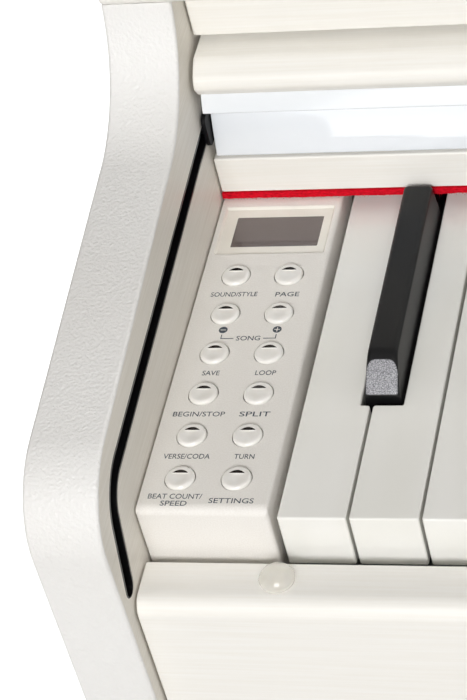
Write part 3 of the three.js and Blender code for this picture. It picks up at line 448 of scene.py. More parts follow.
def painted_woodgrain_foil(name, grain_axis, shade, light):
    """White melamine foil printed and pressed with wood grain: a satin sheen, and fine dull lines along
    the board that catch the light on rounded edges."""
    material, tree, made = shader(name, Roughness=0.42, IOR=1.5)
    long, short = ([length if axis == grain_axis else 1 for axis in "xyz"] for length in (40, 14))
    grain = noise(tree, 1100, 4, stretch=long)
    pores = noise(tree, 1700, stretch=short)
    sharp = add(tree, "ShaderNodeMapRange", {"Value": pores, "From Min": 0.62, "From Max": 0.72})
    mixed = add(tree, "ShaderNodeMath", {0: grain, 1: sharp.outputs[0]}, operation="SUBTRACT")
    tint(tree, made, grain, (0.3, shade), (0.7, light))
    relief(tree, made, mixed.outputs[0], 0.04, 0.3)
    return material


def embossed_foil():
    """White vinyl foil with a fine pebbled emboss, about 1 mm from crest to crest: soft and even, with
    tiny glints where the light grazes it."""
    material, tree, made = shader("embossed_foil", Roughness=0.4, IOR=1.5)
    pebble = noise(tree, 900, 2)
    drift = noise(tree, 9, 2)
    tint(tree, made, drift, (0.3, "EAE8E5"), (0.7, "EFEEEC"))
    relief(tree, made, pebble, 0.5, 0.85)
    return material


def gloss_lip_plastic():
    """Extruded polystyrene with a polished skin, cool white: clear mirror highlights over a body that
    shades softly."""
    look = {"Roughness": 0.06, "IOR": 1.55, "Coat_Weight": 0.6, "Coat_Roughness": 0.03}
    shades, bump = ("ECF0F5", "F2F5F8"), (0.15, 0.3)
    return patterned("gloss_lip_plastic", 25, shades, stretch=(6, 1, 1), bump=bump, **look)


def moulded_abs():
    """Injection-moulded ABS, warm white, spark-eroded to a fine matt: grit about 0.3 mm across, drawn at
    0.5 mm so that it shows."""
    return patterned("moulded_abs", 2000, ("EAE6E0", "F0EDE8"), bump=(0.03, 0.3), Roughness=0.5, IOR=1.5)


def polished_bezel():
    """ABS against a polished steel mould, creamier than the blasted skin round it: soft reflections."""
    return patterned("polished_bezel", 80, ("EEE9DF", "F3EFE6"), Roughness=0.2, IOR=1.5, Coat_Weight=0.3)


def gloss_button():
    """Polished ABS caps: white, with a sharp highlight along the rounded rim."""
    look = {"Roughness": 0.12, "IOR": 1.5, "Coat_Weight": 0.8, "Coat_Roughness": 0.05}
    return patterned("gloss_button", 300, ("F0EDE7", "F6F4F0"), **look)


def white_key_acrylic():
    """Polished key tops, warm white: soft reflections that a slight waviness of the moulding stretches."""
    look = {"Roughness": 0.2, "IOR": 1.49, "Coat_Weight": 0.35, "Coat_Roughness": 0.06}
    shades, bump = ("F0EFE9", "F6F5F1"), (0.04, 0.25)
    return patterned("white_key_acrylic", 45, shades, stretch=(1, 3, 1), bump=bump, **look)


def black_key_satin():
    """Black key tops, blasted to a fine satin that looks like ebony: grit 0.3 mm across. On the sloping
    front, where the slope's mask attribute is above nought, a painted reflection of the bright room is laid
    into the base colour as a sparkling grey."""
    material, tree, made = shader("black_key_satin", Roughness=0.38, IOR=1.42)
    fine = noise(tree, 3600, 2)
    glint_noise = {"Vector": stretched(tree), "Scale": 3000, "Detail": 2, "Roughness": 0.7}
    coarse = add(tree, "ShaderNodeTexNoise", glint_noise).outputs[0]
    painted_highlight = add(tree, "ShaderNodeAttribute", attribute_name="painted_highlight")
    limits = {"From Min": -0.15, "From Max": 0.15}  # millimetres over which the painted highlight fades in
    inside = add(tree, "ShaderNodeMapRange", {"Value": painted_highlight.outputs["Fac"], **limits})
    satin = ramp(tree, fine, (0.35, "08080A"), (0.66, "101012"), (0.8, "1E1E21"))
    # painted reflection: this bright sparkling grey stands in for the room mirrored by the slope
    painted_glint = ramp(tree, coarse, (0.34, "5E5E61"), (0.5, "909095"), (0.66, "C6C6CA"))
    mixed = add(tree, "ShaderNodeMix", {"Factor": inside.outputs[0]}, data_type="RGBA")
    tree.links.new(satin, mixed.inputs[6])
    tree.links.new(painted_glint, mixed.inputs[7])
    tree.links.new(mixed.outputs[2], made.inputs["Base Color"])
    relief(tree, made, fine, 0.035, 0.5)
    return material


def black_anodised_rail():
    """Extruded aluminium channel, dyed black: dark, with a broad sheen along its walls."""
    look = {"Roughness": 0.28, "IOR": 1.5}
    shades, bump = ("0A0A0B", "151517"), (0.02, 0.4)
    return patterned("black_anodised_rail", 900, shades, 2, (1, 30, 30), bump, **look)


def wool_felt():
    """Pressed wool felt, bright red: no gloss, a woolly surface and loose fibres with a soft sheen."""
    sheen = {"Sheen_Weight": 0.1, "Sheen_Roughness": 0.5, "Sheen_Tint": linear("FF3040")}
    material, tree, made = shader("wool_felt", Roughness=1.0, IOR=1.3, **sheen)
    wool = noise(tree, 1500, 5, stretch=(2, 1, 1))
    tint(tree, made, wool, (0.25, "A80016"), (0.5, "CE041E"), (0.75, "E4122C"))
    relief(tree, made, wool, 0.4, 0.8)
    return material


def clear_bumper():
    """Soft clear polyurethane: a thin milky film where it is seen square on, and more of its warm tone
    towards the rim, where light passes through more of it. The light glances off it sharply."""
    coat = {"Coat_Weight": 1.0, "Coat_Roughness": 0.04}
    material, tree, made = shader("clear_bumper", Roughness=0.06, IOR=1.5, **coat)
    cloud = noise(tree, 250, 2)
    tint(tree, made, cloud, (0.3, "F8F4E9"), (0.7, "FDFBF5"))
    rim = add(tree, "ShaderNodeLayerWeight", {"Blend": 0.35})
    haze = add(tree, "ShaderNodeMapRange", {"Value": rim.outputs["Facing"], "To Min": 0.32, "To Max": 0.8})
    tree.links.new(haze.outputs[0], made.inputs["Alpha"])
    return material


def tinted_display():
    """Acrylic window over a grey liquid-crystal display: dark warm grey that lifts where it mirrors the
    room, with the display's faint cells behind it."""
    material, tree, made = shader("tinted_display", Roughness=0.09, IOR=1.49, Coat_Weight=0.5)
    colours = {"Color1": linear("6F6462"), "Color2": linear("726866"), "Mortar": linear("685D5B")}
    inputs = {"Vector": stretched(tree), "Scale": 480, "Mortar Size": 0.03, **colours}
    cells = add(tree, "ShaderNodeTexBrick", inputs)
    tree.links.new(cells.outputs["Color"], made.inputs["Base Color"])
    return material


def smoked_lens():
    """Smoked polycarbonate light guide: near black, and polished, with a warm tone inside."""
    return patterned("smoked_lens", 900, ("17110F", "2A2220"), Roughness=0.12, IOR=1.58)


def printing_ink():
    """Pad-printed legend, dark slate: a matt film with the slight mottling of a thin coat."""
    return patterned("printing_ink", 4000, ("3B424B", "505862"), Roughness=0.6, IOR=1.5)


def black_moulding():
    """Black ABS moulding with a light texture."""
    look = {"Roughness": 0.4, "IOR": 1.5}
    return patterned("black_moulding", 1400, ("161618", "232326"), 2, bump=(0.05, 0.4), **look)


def black_zinc():
    """Sheet steel under a black zinc plate: nearly black, with a dull sheen along its folds."""
    look = {"Roughness": 0.5, "IOR": 1.25}
    return patterned("black_zinc", 700, ("0A0A0C", "121215"), 3, (12, 1, 1), **look)


def zinc_plate():
    """Zinc-plated sheet steel: grey metal with a faint rolled grain."""
    look = {"Roughness": 0.34, "Metallic": 1.0}
    return patterned("zinc_plate", 700, ("8F9296", "B4B7BB"), 3, (12, 1, 1), (0.02, 0.3), **look)


def polished_brass():
    """Brass-plated casting, buffed: warm yellow metal whose buffing leaves long faint marks."""
    look = {"Roughness": 0.2, "Metallic": 1.0}
    return patterned("polished_brass", 900, ("C69A4A", "E2BE72"), 2, (1, 25, 1), (0.01, 0.4), **look)


def solder_mask():
    """Green circuit-board lacquer with the copper tracks faint beneath it."""
    material, tree, made = shader("solder_mask", Roughness=0.3, IOR=1.5)
    tracks = add(tree, "ShaderNodeTexVoronoi", {"Vector": stretched(tree), "Scale": 220})
    tint(tree, made, tracks.outputs["Distance"], (0.1, "1E6B3C"), (0.5, "123F25"))
    return material


def speaker_cloth():
    """Black woven grille cloth, its threads a little over a millimetre apart."""
    material, tree, made = shader("speaker_cloth", Roughness=0.9)
    inputs = {"Vector": stretched(tree), "Scale": 260, "Distortion": 0.5}
    threads = add(tree, "ShaderNodeTexWave", inputs).outputs["Fac"]
    tint(tree, made, threads, (0.2, "0D0D0E"), (0.8, "2A2A2C"))
    relief(tree, made, threads, 0.2, 0.8)
    return material


FOIL = painted_woodgrain_foil("painted_woodgrain_foil", "x", "F0EDE6", "F4F2ED")
# the cabinet's woodgrain foil in darker, warmer shades: painted shade for the panels' inner faces, which
# turn away from the lights
SHADED_INNER_FOIL = painted_woodgrain_foil("inner_panel_foil_painted_shade", "y", "E4DFD5", "EDE9E1")
EMBOSSED = embossed_foil()
LIP = gloss_lip_plastic()
MOULDED = moulded_abs()
BEZEL = polished_bezel()
BUTTON = gloss_button()
WHITE_KEY = white_key_acrylic()
BLACK_KEY = black_key_satin()
RAIL = black_anodised_rail()
FELT = wool_felt()
CLEAR = clear_bumper()
DISPLAY = tinted_display()
LENS = smoked_lens()
INK = printing_ink()
BLACK = black_moulding()
BLACK_STEEL = black_zinc()
ZINC = zinc_plate()
BRASS = polished_brass()
CIRCUIT = solder_mask()
CLOTH = speaker_cloth()

CAD_FINISHES = {
    "woodgrain_foil": FOIL,
    "embossed_foil": EMBOSSED,
    "gloss_lip": LIP,
    "moulded_white": MOULDED,
    "button_white": BUTTON,
    "key_white": WHITE_KEY,
    "key_black": BLACK_KEY,
    "black_rail": RAIL,
    "red_felt": FELT,
    "clear_rubber": CLEAR,
    "display_glass": DISPLAY,
    "dark_plastic": BLACK,
    "steel": ZINC,
    "brass": BRASS,
    "circuit_board": CIRCUIT,
}


def dress_cad_nodes():
    """Gives every CAD node the material of its slot, for those that no finer piece replaces."""
    for row in frame["record"]["subparts"]:
        node = frame["nodes"][row["node"]]
        node.data.materials.clear()
        node.data.materials.append(CAD_FINISHES[row["material_slot"]])


# ---- Camera, lights and floor ----------------------------------------------------------------------

EYE = (-382.2, -562.9, 636.5)
TARGET = (-642.8, 75.9, 0.0)
ROLL = math.radians(15.93)
FOCAL_LENGTH = 142.15


def place_camera():
    """Looks from EYE to TARGET, and is rolled to the right by ROLL."""
    eye, target = (Vector(deck_to_frame(p)) for p in (EYE, TARGET))
    forward = (target - eye).normalized()
    level = forward.cross(Vector((0, 0, 1))).normalized()
    upright = level.cross(forward)
    right = math.cos(ROLL) * level - math.sin(ROLL) * upright
    up = math.sin(ROLL) * level + math.cos(ROLL) * upright
    data = bpy.data.cameras.new("camera")
    data.lens = FOCAL_LENGTH
    data.sensor_width = 36
    data.clip_start = 0.01
    camera = bpy.data.objects.new("camera", data)
    camera.matrix_world = Matrix.Translation(eye) @ Matrix((right, up, -forward)).transposed().to_4x4()
    bpy.context.scene.collection.objects.link(camera)
    bpy.context.scene.camera = camera


def area_light(name, at, towards, size, power, shape="RECTANGLE"):
    """A flat light of a size in metres, at a point of the CAD frame, facing another."""
    data = bpy.data.lights.new(name, "AREA")
    data.shape = shape
    data.size, data.size_y = size
    data.energy = power
    light = bpy.data.objects.new(name, data)
    light.location = at
    light.rotation_euler = (Vector(towards) - Vector(at)).to_track_quat("-Z", "Y").to_euler()
    bpy.context.scene.collection.objects.link(light)


def light_scene():
    """A dim warm room, a broad soft light from the front that models the fronts and tops, a low one that
    the lip mirrors, weak ones from the left, above and the right, and a strong one for the back."""
    scene = bpy.context.scene
    scene.view_settings.view_transform = "Standard"
    world = bpy.data.worlds.new("studio")
    scene.world = world
    world.use_nodes = True
    background = world.node_tree.nodes["Background"]
    background.inputs["Color"].default_value = linear("FBF7F1")
    background.inputs["Strength"].default_value = 0.23
    middle = (-0.5, 0.0, 0.75)
    area_light("front_left_softbox", (-2.3, -2.9, 1.75), middle, (1.2, 1.2), 4)
    area_light("front_softbox", (-0.35, -2.9, 2.45), middle, (1.5, 1.0), 81)
    area_light("top_softbox", (-0.6, -0.2, 3.2), middle, (2.4, 2.0), 4)
    area_light("back_fill", (1.8, 2.6, 1.8), (0, 0, 0.6), (2.0, 2.0), 90)
    area_light("right_fill", (3.5, -0.3, 1.6), (0.6, 0, 0.6), (2.0, 2.0), 12)
    area_light("low_octabox", (-1.1, -3.0, 0.8), (-0.6, 0, 0.77), (0.86, 1.5), 4.8, shape="ELLIPSE")


def stage_piece(name, points, faces, material):
    """A part of the studio, in metres, that doesn't light the cabinet from below or from the sides."""
    mesh = bpy.data.meshes.new(name)
    mesh.from_pydata(points, [], faces)
    mesh.materials.append(material)
    piece = bpy.data.objects.new(name, mesh)
    bpy.context.scene.collection.objects.link(piece)
    piece.visible_diffuse = False
    return piece


def lay_studio():
    """A white glowing floor, and far off a wall round it that only the camera sees."""
    material, _, made = shader("studio_white", Roughness=0.7)
    made.inputs["Base Color"].default_value = linear("F4F4F3")
    made.inputs["Emission Color"].default_value = linear("FFFFFF")
    made.inputs["Emission Strength"].default_value = 0.82
    reach, height, sides = 30.0, 25.0, 48
    corners = [(-reach, -reach, 0), (reach, -reach, 0), (reach, reach, 0), (-reach, reach, 0)]
    stage_piece("floor", corners, [(0, 1, 2, 3)], material)
    ring = circle(0, 0, reach - 1, sides)
    around = np.vstack([lift(ring, 0.0, "z"), lift(ring, height, "z")]).tolist()
    wall = stage_piece("far_wall", around, strip_faces(2, sides), material)
    wall.visible_glossy = False
    wall.visible_transmission = False
    wall.visible_shadow = False


# ---- Cabinet ---------------------------------------------------------------------------------------

PANEL_EDGE = 1.3
NOSE_RADIUS = 29.0
ARM_SLOPE = math.radians(6.5)  # rise of the arm's upper edge
ARM_RISE = 41.8  # the arm's upper edge where the nose's arc ends
RISER_Y = 149.5
RISER_RADIUS = 45.5
ARM_UNDER = -105.0
LEG_Y = 110.0
FOOT_HEIGHT = 45.0
PAD_LENGTH = 70.0  # the foot stands on its two ends
PAD_STEP = 3.0

RAIL_SLOPE = math.radians(3.3)
RAIL_CORNER = np.array([-12.8, 26.5])  # where the rail's straight run and its drop would meet
RAIL_BEND = 16.0
RAIL_DROP = 40.7
RAIL_DROP_LEAN = math.radians(13.5)
RAIL_REAR_Y = BACK_Y - 54
RAIL_WIDTH = 8.0
RAIL_WALL = 1.0
RAIL_DEPTH = 6.0
RAIL_FIT = 0.2


def rail_z(y):
    """Height of the middle of the rail's straight run."""
    return RAIL_CORNER[1] + (y - RAIL_CORNER[0]) * math.tan(RAIL_SLOPE)


def rail_band(width):
    """The guide rail's outline in (y, z): a band of a width along a rising run, a bend and a drop."""
    rear = np.array([RAIL_REAR_Y, rail_z(RAIL_REAR_Y)])
    low = RAIL_CORNER - RAIL_DROP * np.array([math.sin(RAIL_DROP_LEAN), math.cos(RAIL_DROP_LEAN)])
    along = (RAIL_CORNER - rear) / np.linalg.norm(RAIL_CORNER - rear)
    down = (low - RAIL_CORNER) / np.linalg.norm(low - RAIL_CORNER)
    side, down_side = np.array([-along[1], along[0]]), np.array([-down[1], down[0]])
    mitre = (side + down_side) / np.linalg.norm(side + down_side)
    half = width / 2
    reach = half / (mitre @ side)
    ends = half * 0.98
    corners = [
        (rear + half * side, ends),
        (RAIL_CORNER + reach * mitre, RAIL_BEND - half),
        (low + half * down_side, ends),
        (low - half * down_side, ends),
        (RAIL_CORNER - reach * mitre, RAIL_BEND + half),
        (rear - half * side, ends),
    ]
    return rounded([(*place, radius) for place, radius in corners[::-1]])


def panel_outline():
    """The side panel's outline in (y, z): foot, leg, the arm with its round nose, and the riser."""
    nose = np.array([FRONT_Y + NOSE_RADIUS, ARM_RISE - NOSE_RADIUS * math.cos(ARM_SLOPE)])
    nose_end = nose[0] - NOSE_RADIUS * math.sin(ARM_SLOPE)
    riser_y = RISER_Y - RISER_RADIUS
    riser_z = ARM_RISE + (riser_y - nose_end) * math.tan(ARM_SLOPE) + RISER_RADIUS / math.cos(ARM_SLOPE)
    foot_y = FRONT_Y + 6
    foot_z = FLOOR_Z + FOOT_HEIGHT
    lower = rounded([
        (FRONT_Y, nose[1] - 1),
        (FRONT_Y, ARM_UNDER, 15),
        (LEG_Y, ARM_UNDER, 80),
        (LEG_Y, foot_z, 60),
        (foot_y, foot_z, 15),
        (foot_y, FLOOR_Z, 1),
        (foot_y + PAD_LENGTH, FLOOR_Z, 1),
        (foot_y + PAD_LENGTH + PAD_STEP, FLOOR_Z + PAD_STEP),
        (BACK_Y - PAD_LENGTH - PAD_STEP, FLOOR_Z + PAD_STEP),
        (BACK_Y - PAD_LENGTH, FLOOR_Z, 1),
        (BACK_Y, FLOOR_Z, 1),
        (BACK_Y, PANEL_TOP),
    ])
    riser_end = math.asin(min(0, (PANEL_TOP - riser_z) / RISER_RADIUS))
    riser = arc((riser_y, riser_z), RISER_RADIUS, riser_end, ARM_SLOPE - math.pi / 2)
    front = arc(nose, NOSE_RADIUS, math.pi / 2 + ARM_SLOPE, math.pi)
    return np.vstack([lower, riser, front])


def side_panels():
    """A board of the panel's outline, with the rail's groove in its inner face."""
    groove = (rail_band(RAIL_WIDTH + 2 * RAIL_FIT), RAIL_DEPTH + RAIL_FIT)
    heap = slab(Heap(), panel_outline(), -HALF_WIDTH, -INNER_X, PANEL_EDGE, "x", holes=[groove], top_mark=1)
    # the inner face takes the foil copy with painted shade
    build_pair(heap, "side_panel", [EMBOSSED, SHADED_INNER_FOIL], "cabinet", "embossed_foil")


def guide_rails():
    """A channel: the band's outline as a solid, hollowed by the band less its walls."""
    hollow = (rail_band(RAIL_WIDTH - 2 * RAIL_WALL), RAIL_DEPTH - RAIL_WALL)
    band = rail_band(RAIL_WIDTH)
    heap = slab(Heap(), band, -INNER_X - RAIL_DEPTH, -INNER_X, 0.25, "x", holes=[hollow])
    build_pair(heap, "guide_rail", RAIL, "cabinet", "black_rail")


def cabinet_boards():
    """The top board, with broad round edges, and the plain boards of the body."""
    low, high = node_box("top_board")
    outline = rounded([
        (low[1], low[2], 3),
        (high[1], low[2], 1),
        (high[1], high[2], 3),
        (low[1], high[2], 3),
    ])
    lid = slab(Heap(), outline, low[0], high[0], 2, "x", steps=5)
    lid.finish("top_board", FOIL, "cabinet", "woodgrain_foil")
    edges = {"upper_front_panel": 1.0, "nameboard": 0.8, "kick_board": 1.2, "pedal_rail": 1.2}
    for node, edge in edges.items():
        low, high = node_box(node)
        plank = board(Heap(), *zip(low, high), edge)
        plank.finish(node, FOIL, "cabinet", "woodgrain_foil")


def key_slip():
    """The rail before the keys: flat top, a broad rounded front edge and a plain front face."""
    low, high = node_box("key_slip")
    back = high[1] + 0.5  # closes most of the dark gap before the keys
    outline = rounded([(low[1], low[2], 1), (back, low[2]), (back, high[2], 0.5), (low[1], high[2], 6)])
    heap = slab(Heap(), outline, low[0], high[0], 0.8, "x")
    heap.finish("key_slip", FOIL, "cabinet", "woodgrain_foil")


def rear_panel():
    """The back board, with the opening of the socket plate."""
    low, high = node_box("rear_panel")
    jack_low, jack_high = node_box("jack_panel")
    opening = rectangle(*zip(jack_low[[2, 0]] - ROOM, jack_high[[2, 0]] + ROOM), 1)
    outline = rectangle(*zip(low[[2, 0]], high[[2, 0]]), 1)
    heap = slab(Heap(), outline, low[1], high[1], 0.8, "y", holes=[(opening, high[1] - low[1] - 0.5)])
    heap.finish("rear_panel", EMBOSSED, "cabinet", "embossed_foil")


def back_screws():
    """Cross-head screws that hold the back board: a domed head with a black cross at its crown, painted
    shade that stands in for the dark of a cross recess.
    """
    low, high = node_box("rear_panel")
    margin, columns = 14.0, 8
    radius, rise = 3.6, 1.6
    dome = [[radius * math.cos(t), rise * math.sin(t)] for t in (0.3, 0.7, 1.1)]
    screw = turned(Heap(), [[0, 0], [radius, 0]] + dome + [[0, rise]], 0, 0, 20)
    # painted shade: black bars at the crown stand in for the dark inside the cross recess
    for angle in (math.pi / 4, 3 * math.pi / 4):
        cross_shade_bar = rectangle((-2.1, 2.1), (-0.4, 0.4)) @ turn(angle)
        slab(screw, cross_shade_bar, rise - 0.35, rise - 0.02, 0.02, mark=1)
    heap = Heap()
    for z in (low[2] + margin, high[2] - margin):
        for x in np.linspace(low[0] + margin, high[0] - margin, columns):
            heap.join(screw.moved(lambda p: np.stack([x + p[:, 0], high[1] + p[:, 2], z - p[:, 1]], -1)))
    heap.build("back_screws", [ZINC, BLACK], "cabinet", slot="steel")


def socket_plate():
    """A moulded plate with five round sockets, each in a raised collar."""
    low, high = node_box("jack_panel")
    middle = (low[2] + high[2]) / 2
    collar, bore = 6.5, 4.0
    first, pitch, sockets = 18.0, 24.0, 5
    places = low[0] + first + pitch * np.arange(sockets)
    holes = [(circle(middle, x, bore), 6.0) for x in places]
    outline = rectangle(*zip(low[[2, 0]], high[[2, 0]]), 1.5)
    heap = slab(Heap(), outline, low[1], high[1], 0.6, "y", holes=holes)
    for x in places:
        outer, inner = circle(middle, x, collar), circle(middle, x, bore)
        rings = [(outer, -0.2), (outer, 0.5), (inset(outer, 0.5), 0.8), (inner, 0.8), (inner, -1)]
        points = np.vstack([lift(ring, high[1] + rise, "y") for ring, rise in rings])
        heap.add(points, strip_faces(5, len(outer)), mark=1)
    heap.finish("jack_panel", [BLACK, ZINC], "cabinet", "dark_plastic")


def felt_strip():
    """A strip of felt between two limits on each axis. Its faces swell by a sum of sines of random
    direction, and loose fibres stand out of its lower front edge."""
    low, high = node_box("felt_strip")
    random = np.random.default_rng(7)
    corner = 0.7
    front = low[1] - 0.8
    outline = rectangle((front, high[1]), (low[2] + 0.2, high[2]), corner)
    step = 1.2
    x = np.arange(low[0], high[0] + step, step).clip(low[0], high[0])
    grid = np.empty((len(x), len(outline), 3))
    grid[..., 0] = x[:, None]
    grid[..., 1:] = outline
    swell = np.zeros(grid.shape[:2])
    waves = 14
    for _ in range(waves):
        wave = random.normal(0, (1.1, 2.2, 2.2))
        swell += np.sin(grid @ wave + random.uniform(0, 7)) / waves
    middle = outline.mean(0)
    away = (outline - middle) / np.linalg.norm(outline - middle, axis=1, keepdims=True)
    grid[..., 1:] += away * swell[..., None] * 0.45
    heap = Heap().add(grid.reshape(-1, 3), strip_faces(len(x), len(outline)))
    count = len(outline)
    heap.add(grid[0], [list(range(count))[::-1]], [0])
    heap.add(grid[-1], [list(range(count))], [0])
    hairs = 2600
    root = np.stack([
        random.uniform(low[0], high[0], hairs),
        random.uniform(front - 0.05, front + 1.2, hairs),
        low[2] + random.uniform(0.1, 0.6, hairs),
    ], -1)
    lean = random.normal(0, (0.5, 0.35, 0.25), (hairs, 3)) + [0, -0.25, -0.35]
    lean /= np.linalg.norm(lean, axis=1, keepdims=True)
    tip = root + lean * random.uniform(0.4, 1.0, (hairs, 1))
    across = np.cross(lean, [0, 0, 1])
    across *= 0.06 / np.maximum(np.linalg.norm(across, axis=1, keepdims=True), 1e-6)
    third = np.cross(lean, across)
    points = np.stack([root - across, root + across, root + third * 1.5, tip], 1).reshape(-1, 3)
    at = np.arange(hairs)[:, None] * 4
    faces = np.concatenate([at + f for f in ([0, 2, 1], [0, 1, 3], [1, 2, 3], [2, 0, 3])]).tolist()
    heap.add(points, faces)
    heap.finish("felt_strip", FELT, "cabinet", "red_felt", sharp=80)


CROWN = 1.5  # how much prouder the soft dome stands than its plain solid
DOME_WALL = 1.3


def bumpers():
    """A clear dome on the key slip: a low upright wall, and the cap of a sphere of radius
    (r squared + h squared) / 2h on it."""
    low, high = node_box("bumper_left")
    x, y = (low[:2] + high[:2]) / 2
    radius, rise = (high[0] - low[0]) / 2, high[2] - low[2] + CROWN - DOME_WALL
    ball = (radius**2 + rise**2) / (2 * rise)
    widest = math.degrees(math.asin(radius / ball))
    dome = fillet((0, low[2] + DOME_WALL + rise - ball), ball, 90 - widest, 90, 14)
    heap = turned(Heap(), [[0, low[2]], [radius - 0.3, low[2]]] + dome, x, y, 48)
    build_pair(heap, "bumper", CLEAR, "cabinet", "clear_rubber", sharp=60)


# ---- Sliding cover ---------------------------------------------------------------------------------

LIP_BOTTOM = 25.2
BAND_BOTTOM = 46.9
NOSE_BOTTOM = 54.0
COVER_BOARD_FRONT = 158.0
COVER_BOARD_UNDER = 45.0  # underside of the cover's board at its front edge


def cover_nose():
    """The bull-nosed bar: its section is carried across the piano, and its ends are softened."""
    low, high = node_box("cover_nose")
    outline = rounded([
        (146.6, low[2], 1),
        (high[1], low[2]),
        (high[1], high[2], 0.5),
        (151.5, high[2], 5),
        (145, 61.5, 5),
        (low[1], 57.5, 3),
    ])
    heap = slab(Heap(), outline, low[0], high[0], 0.9, "x")
    heap.finish("cover_nose", FOIL, "sliding_cover", "woodgrain_foil", sharp=50)


def cover_lip():
    """An upper band that overhangs an apron. The apron bows out a little: it is an arc that leans back
    by 11 degrees at its lower edge and by 25 at its upper edge."""
    top = NOSE_BOTTOM - ROOM
    lean, more_lean, bow = math.radians(11), math.radians(25), 93.0
    middle = (147 + bow * math.cos(lean), LIP_BOTTOM - bow * math.sin(lean))
    apron = arc(middle, bow, math.pi - more_lean, math.pi - lean)
    outline = rounded(
        [(143.9, BAND_BOTTOM, 0.7), (apron[0, 0], BAND_BOTTOM, 0.3)]
        + [tuple(point) for point in apron[1:-1]]
        + [(147, LIP_BOTTOM, 0.8), (149.6, LIP_BOTTOM, 0.8)]
        + [(156.6, BAND_BOTTOM - 1), (157.6, BAND_BOTTOM - 1)]
        + [(157.6, top - 2), (170, top - 2), (170, top), (147.2, top, 0.7)]
    )
    low, high = node_box("cover_lip")
    heap = slab(Heap(), outline, low[0], high[0], 0.3, "x")
    heap.finish("cover_lip", LIP, "sliding_cover", "gloss_lip")


def cover_carriages():
    """A plate beside the cover, a flange under its board, and two nylon rollers on steel pins."""
    gap, plate = 0.4, 1.6
    x0 = -INNER_X + gap
    front, rear = 145.0, 307.0
    flange_front, flange_width = 160.0, 14.0
    rollers, pin_radius = (151.0, 301.0), 1.6

    def under(y):
        return COVER_BOARD_UNDER - ROOM + (y - COVER_BOARD_FRONT) * math.tan(RAIL_SLOPE)

    outline = rounded([
        (front, rail_z(front) - 5, 3),
        (rear, rail_z(rear) - 5, 3),
        (rear, under(rear), 1),
        (front, under(front), 3),
    ])
    heap = slab(Heap(), outline, x0, x0 + plate, 0.25, "x")
    flange = rounded([
        (flange_front, under(flange_front) - plate),
        (rear, under(rear) - plate),
        (rear, under(rear)),
        (flange_front, under(flange_front)),
    ])
    slab(heap, flange, x0, x0 + flange_width, 0.3, "x")
    radius = RAIL_WIDTH / 2 - RAIL_WALL - 0.4
    for y in rollers:
        rim = circle(y, rail_z(y), radius)
        slab(heap, rim, -INNER_X - RAIL_DEPTH + RAIL_WALL + 0.5, x0 - 0.1, 0.4, "x", mark=1)
        slab(heap, circle(y, rail_z(y), pin_radius), x0 - 0.2, x0 + plate + 0.15, 0.1, "x")
    build_pair(heap, "cover_carriage", [BLACK_STEEL, BLACK], "sliding_cover", "steel")


# ---- End blocks and controls -----------------------------------------------------------------------

BUTTON_RADIUS = 5.0
BUTTON_FIT = 0.28
BUTTON_PROUD = 1.2
BUTTON_PITCH = 19.0
BUTTON_FIRST_Y = 12.2
BUTTON_ROWS = 6
BLOCK_LOW, BLOCK_HIGH = node_box("control_block")
BLOCK_MIDDLE = (BLOCK_LOW[0] + BLOCK_HIGH[0]) / 2
BLOCK_WALL = 2.5
RECESS_STEP = 0.8
RECESS_X = (BLOCK_LOW[0] + 2, BLOCK_HIGH[0] - 2)
RECESS_Y = (118.3, 142.8)
WINDOW_LOW, WINDOW_HIGH = node_box("display_window")
WINDOW = ((WINDOW_LOW[0], WINDOW_HIGH[0] + 1.6), (WINDOW_LOW[1] + 0.5, WINDOW_HIGH[1] - 0.6))
KNOB_Y = 62.0
KNOB_HOLE = 3.4
POWER_Y = 119.0


def button_place(column, row):
    """The middle of a button: column 0 is at the left, and row 0 is nearest the player."""
    return BLOCK_MIDDLE + (column - 0.5) * BUTTON_PITCH, BUTTON_FIRST_Y + row * BUTTON_PITCH


def block_shell(heap, holes):
    """A block's shell. Its top edge is a quarter circle whose radius is broad at the front, moderate
    beside the keys and narrow against the side panel: each side moves in by its radius times
    (1 - cos t), and each point rises by its own radius times sin t."""
    (left, front, low), (right, rear, high) = BLOCK_LOW, BLOCK_HIGH
    panel_edge, key_edge, front_edge, rear_edge = 0.45, 1.35, 3.0, 0.8

    def ring(share):
        x0, x1 = left + panel_edge * share, right - key_edge * share
        y0, y1 = front + front_edge * share, rear - rear_edge * share
        return rounded([(x0, y0, 0.5), (x1, y0, 1.5), (x1, y1, 0.8), (x0, y1, 0.5)])

    outline = ring(0)
    to_front = np.clip(1 + (front - outline[:, 1]) / 1.5, 0, 1) ** 2
    to_keys = np.clip(1 + (outline[:, 0] - right) / 1.5, 0, 1) ** 2
    edge = panel_edge + (key_edge - panel_edge) * to_keys
    edge += (front_edge - edge) * to_front
    quarter = np.linspace(0, math.pi / 2, 8)
    rings = [(outline, low)]
    rings += [(ring(1 - math.cos(t)), high - edge * (1 - math.sin(t))) for t in quarter]
    return stack(heap, rings, holes=holes)


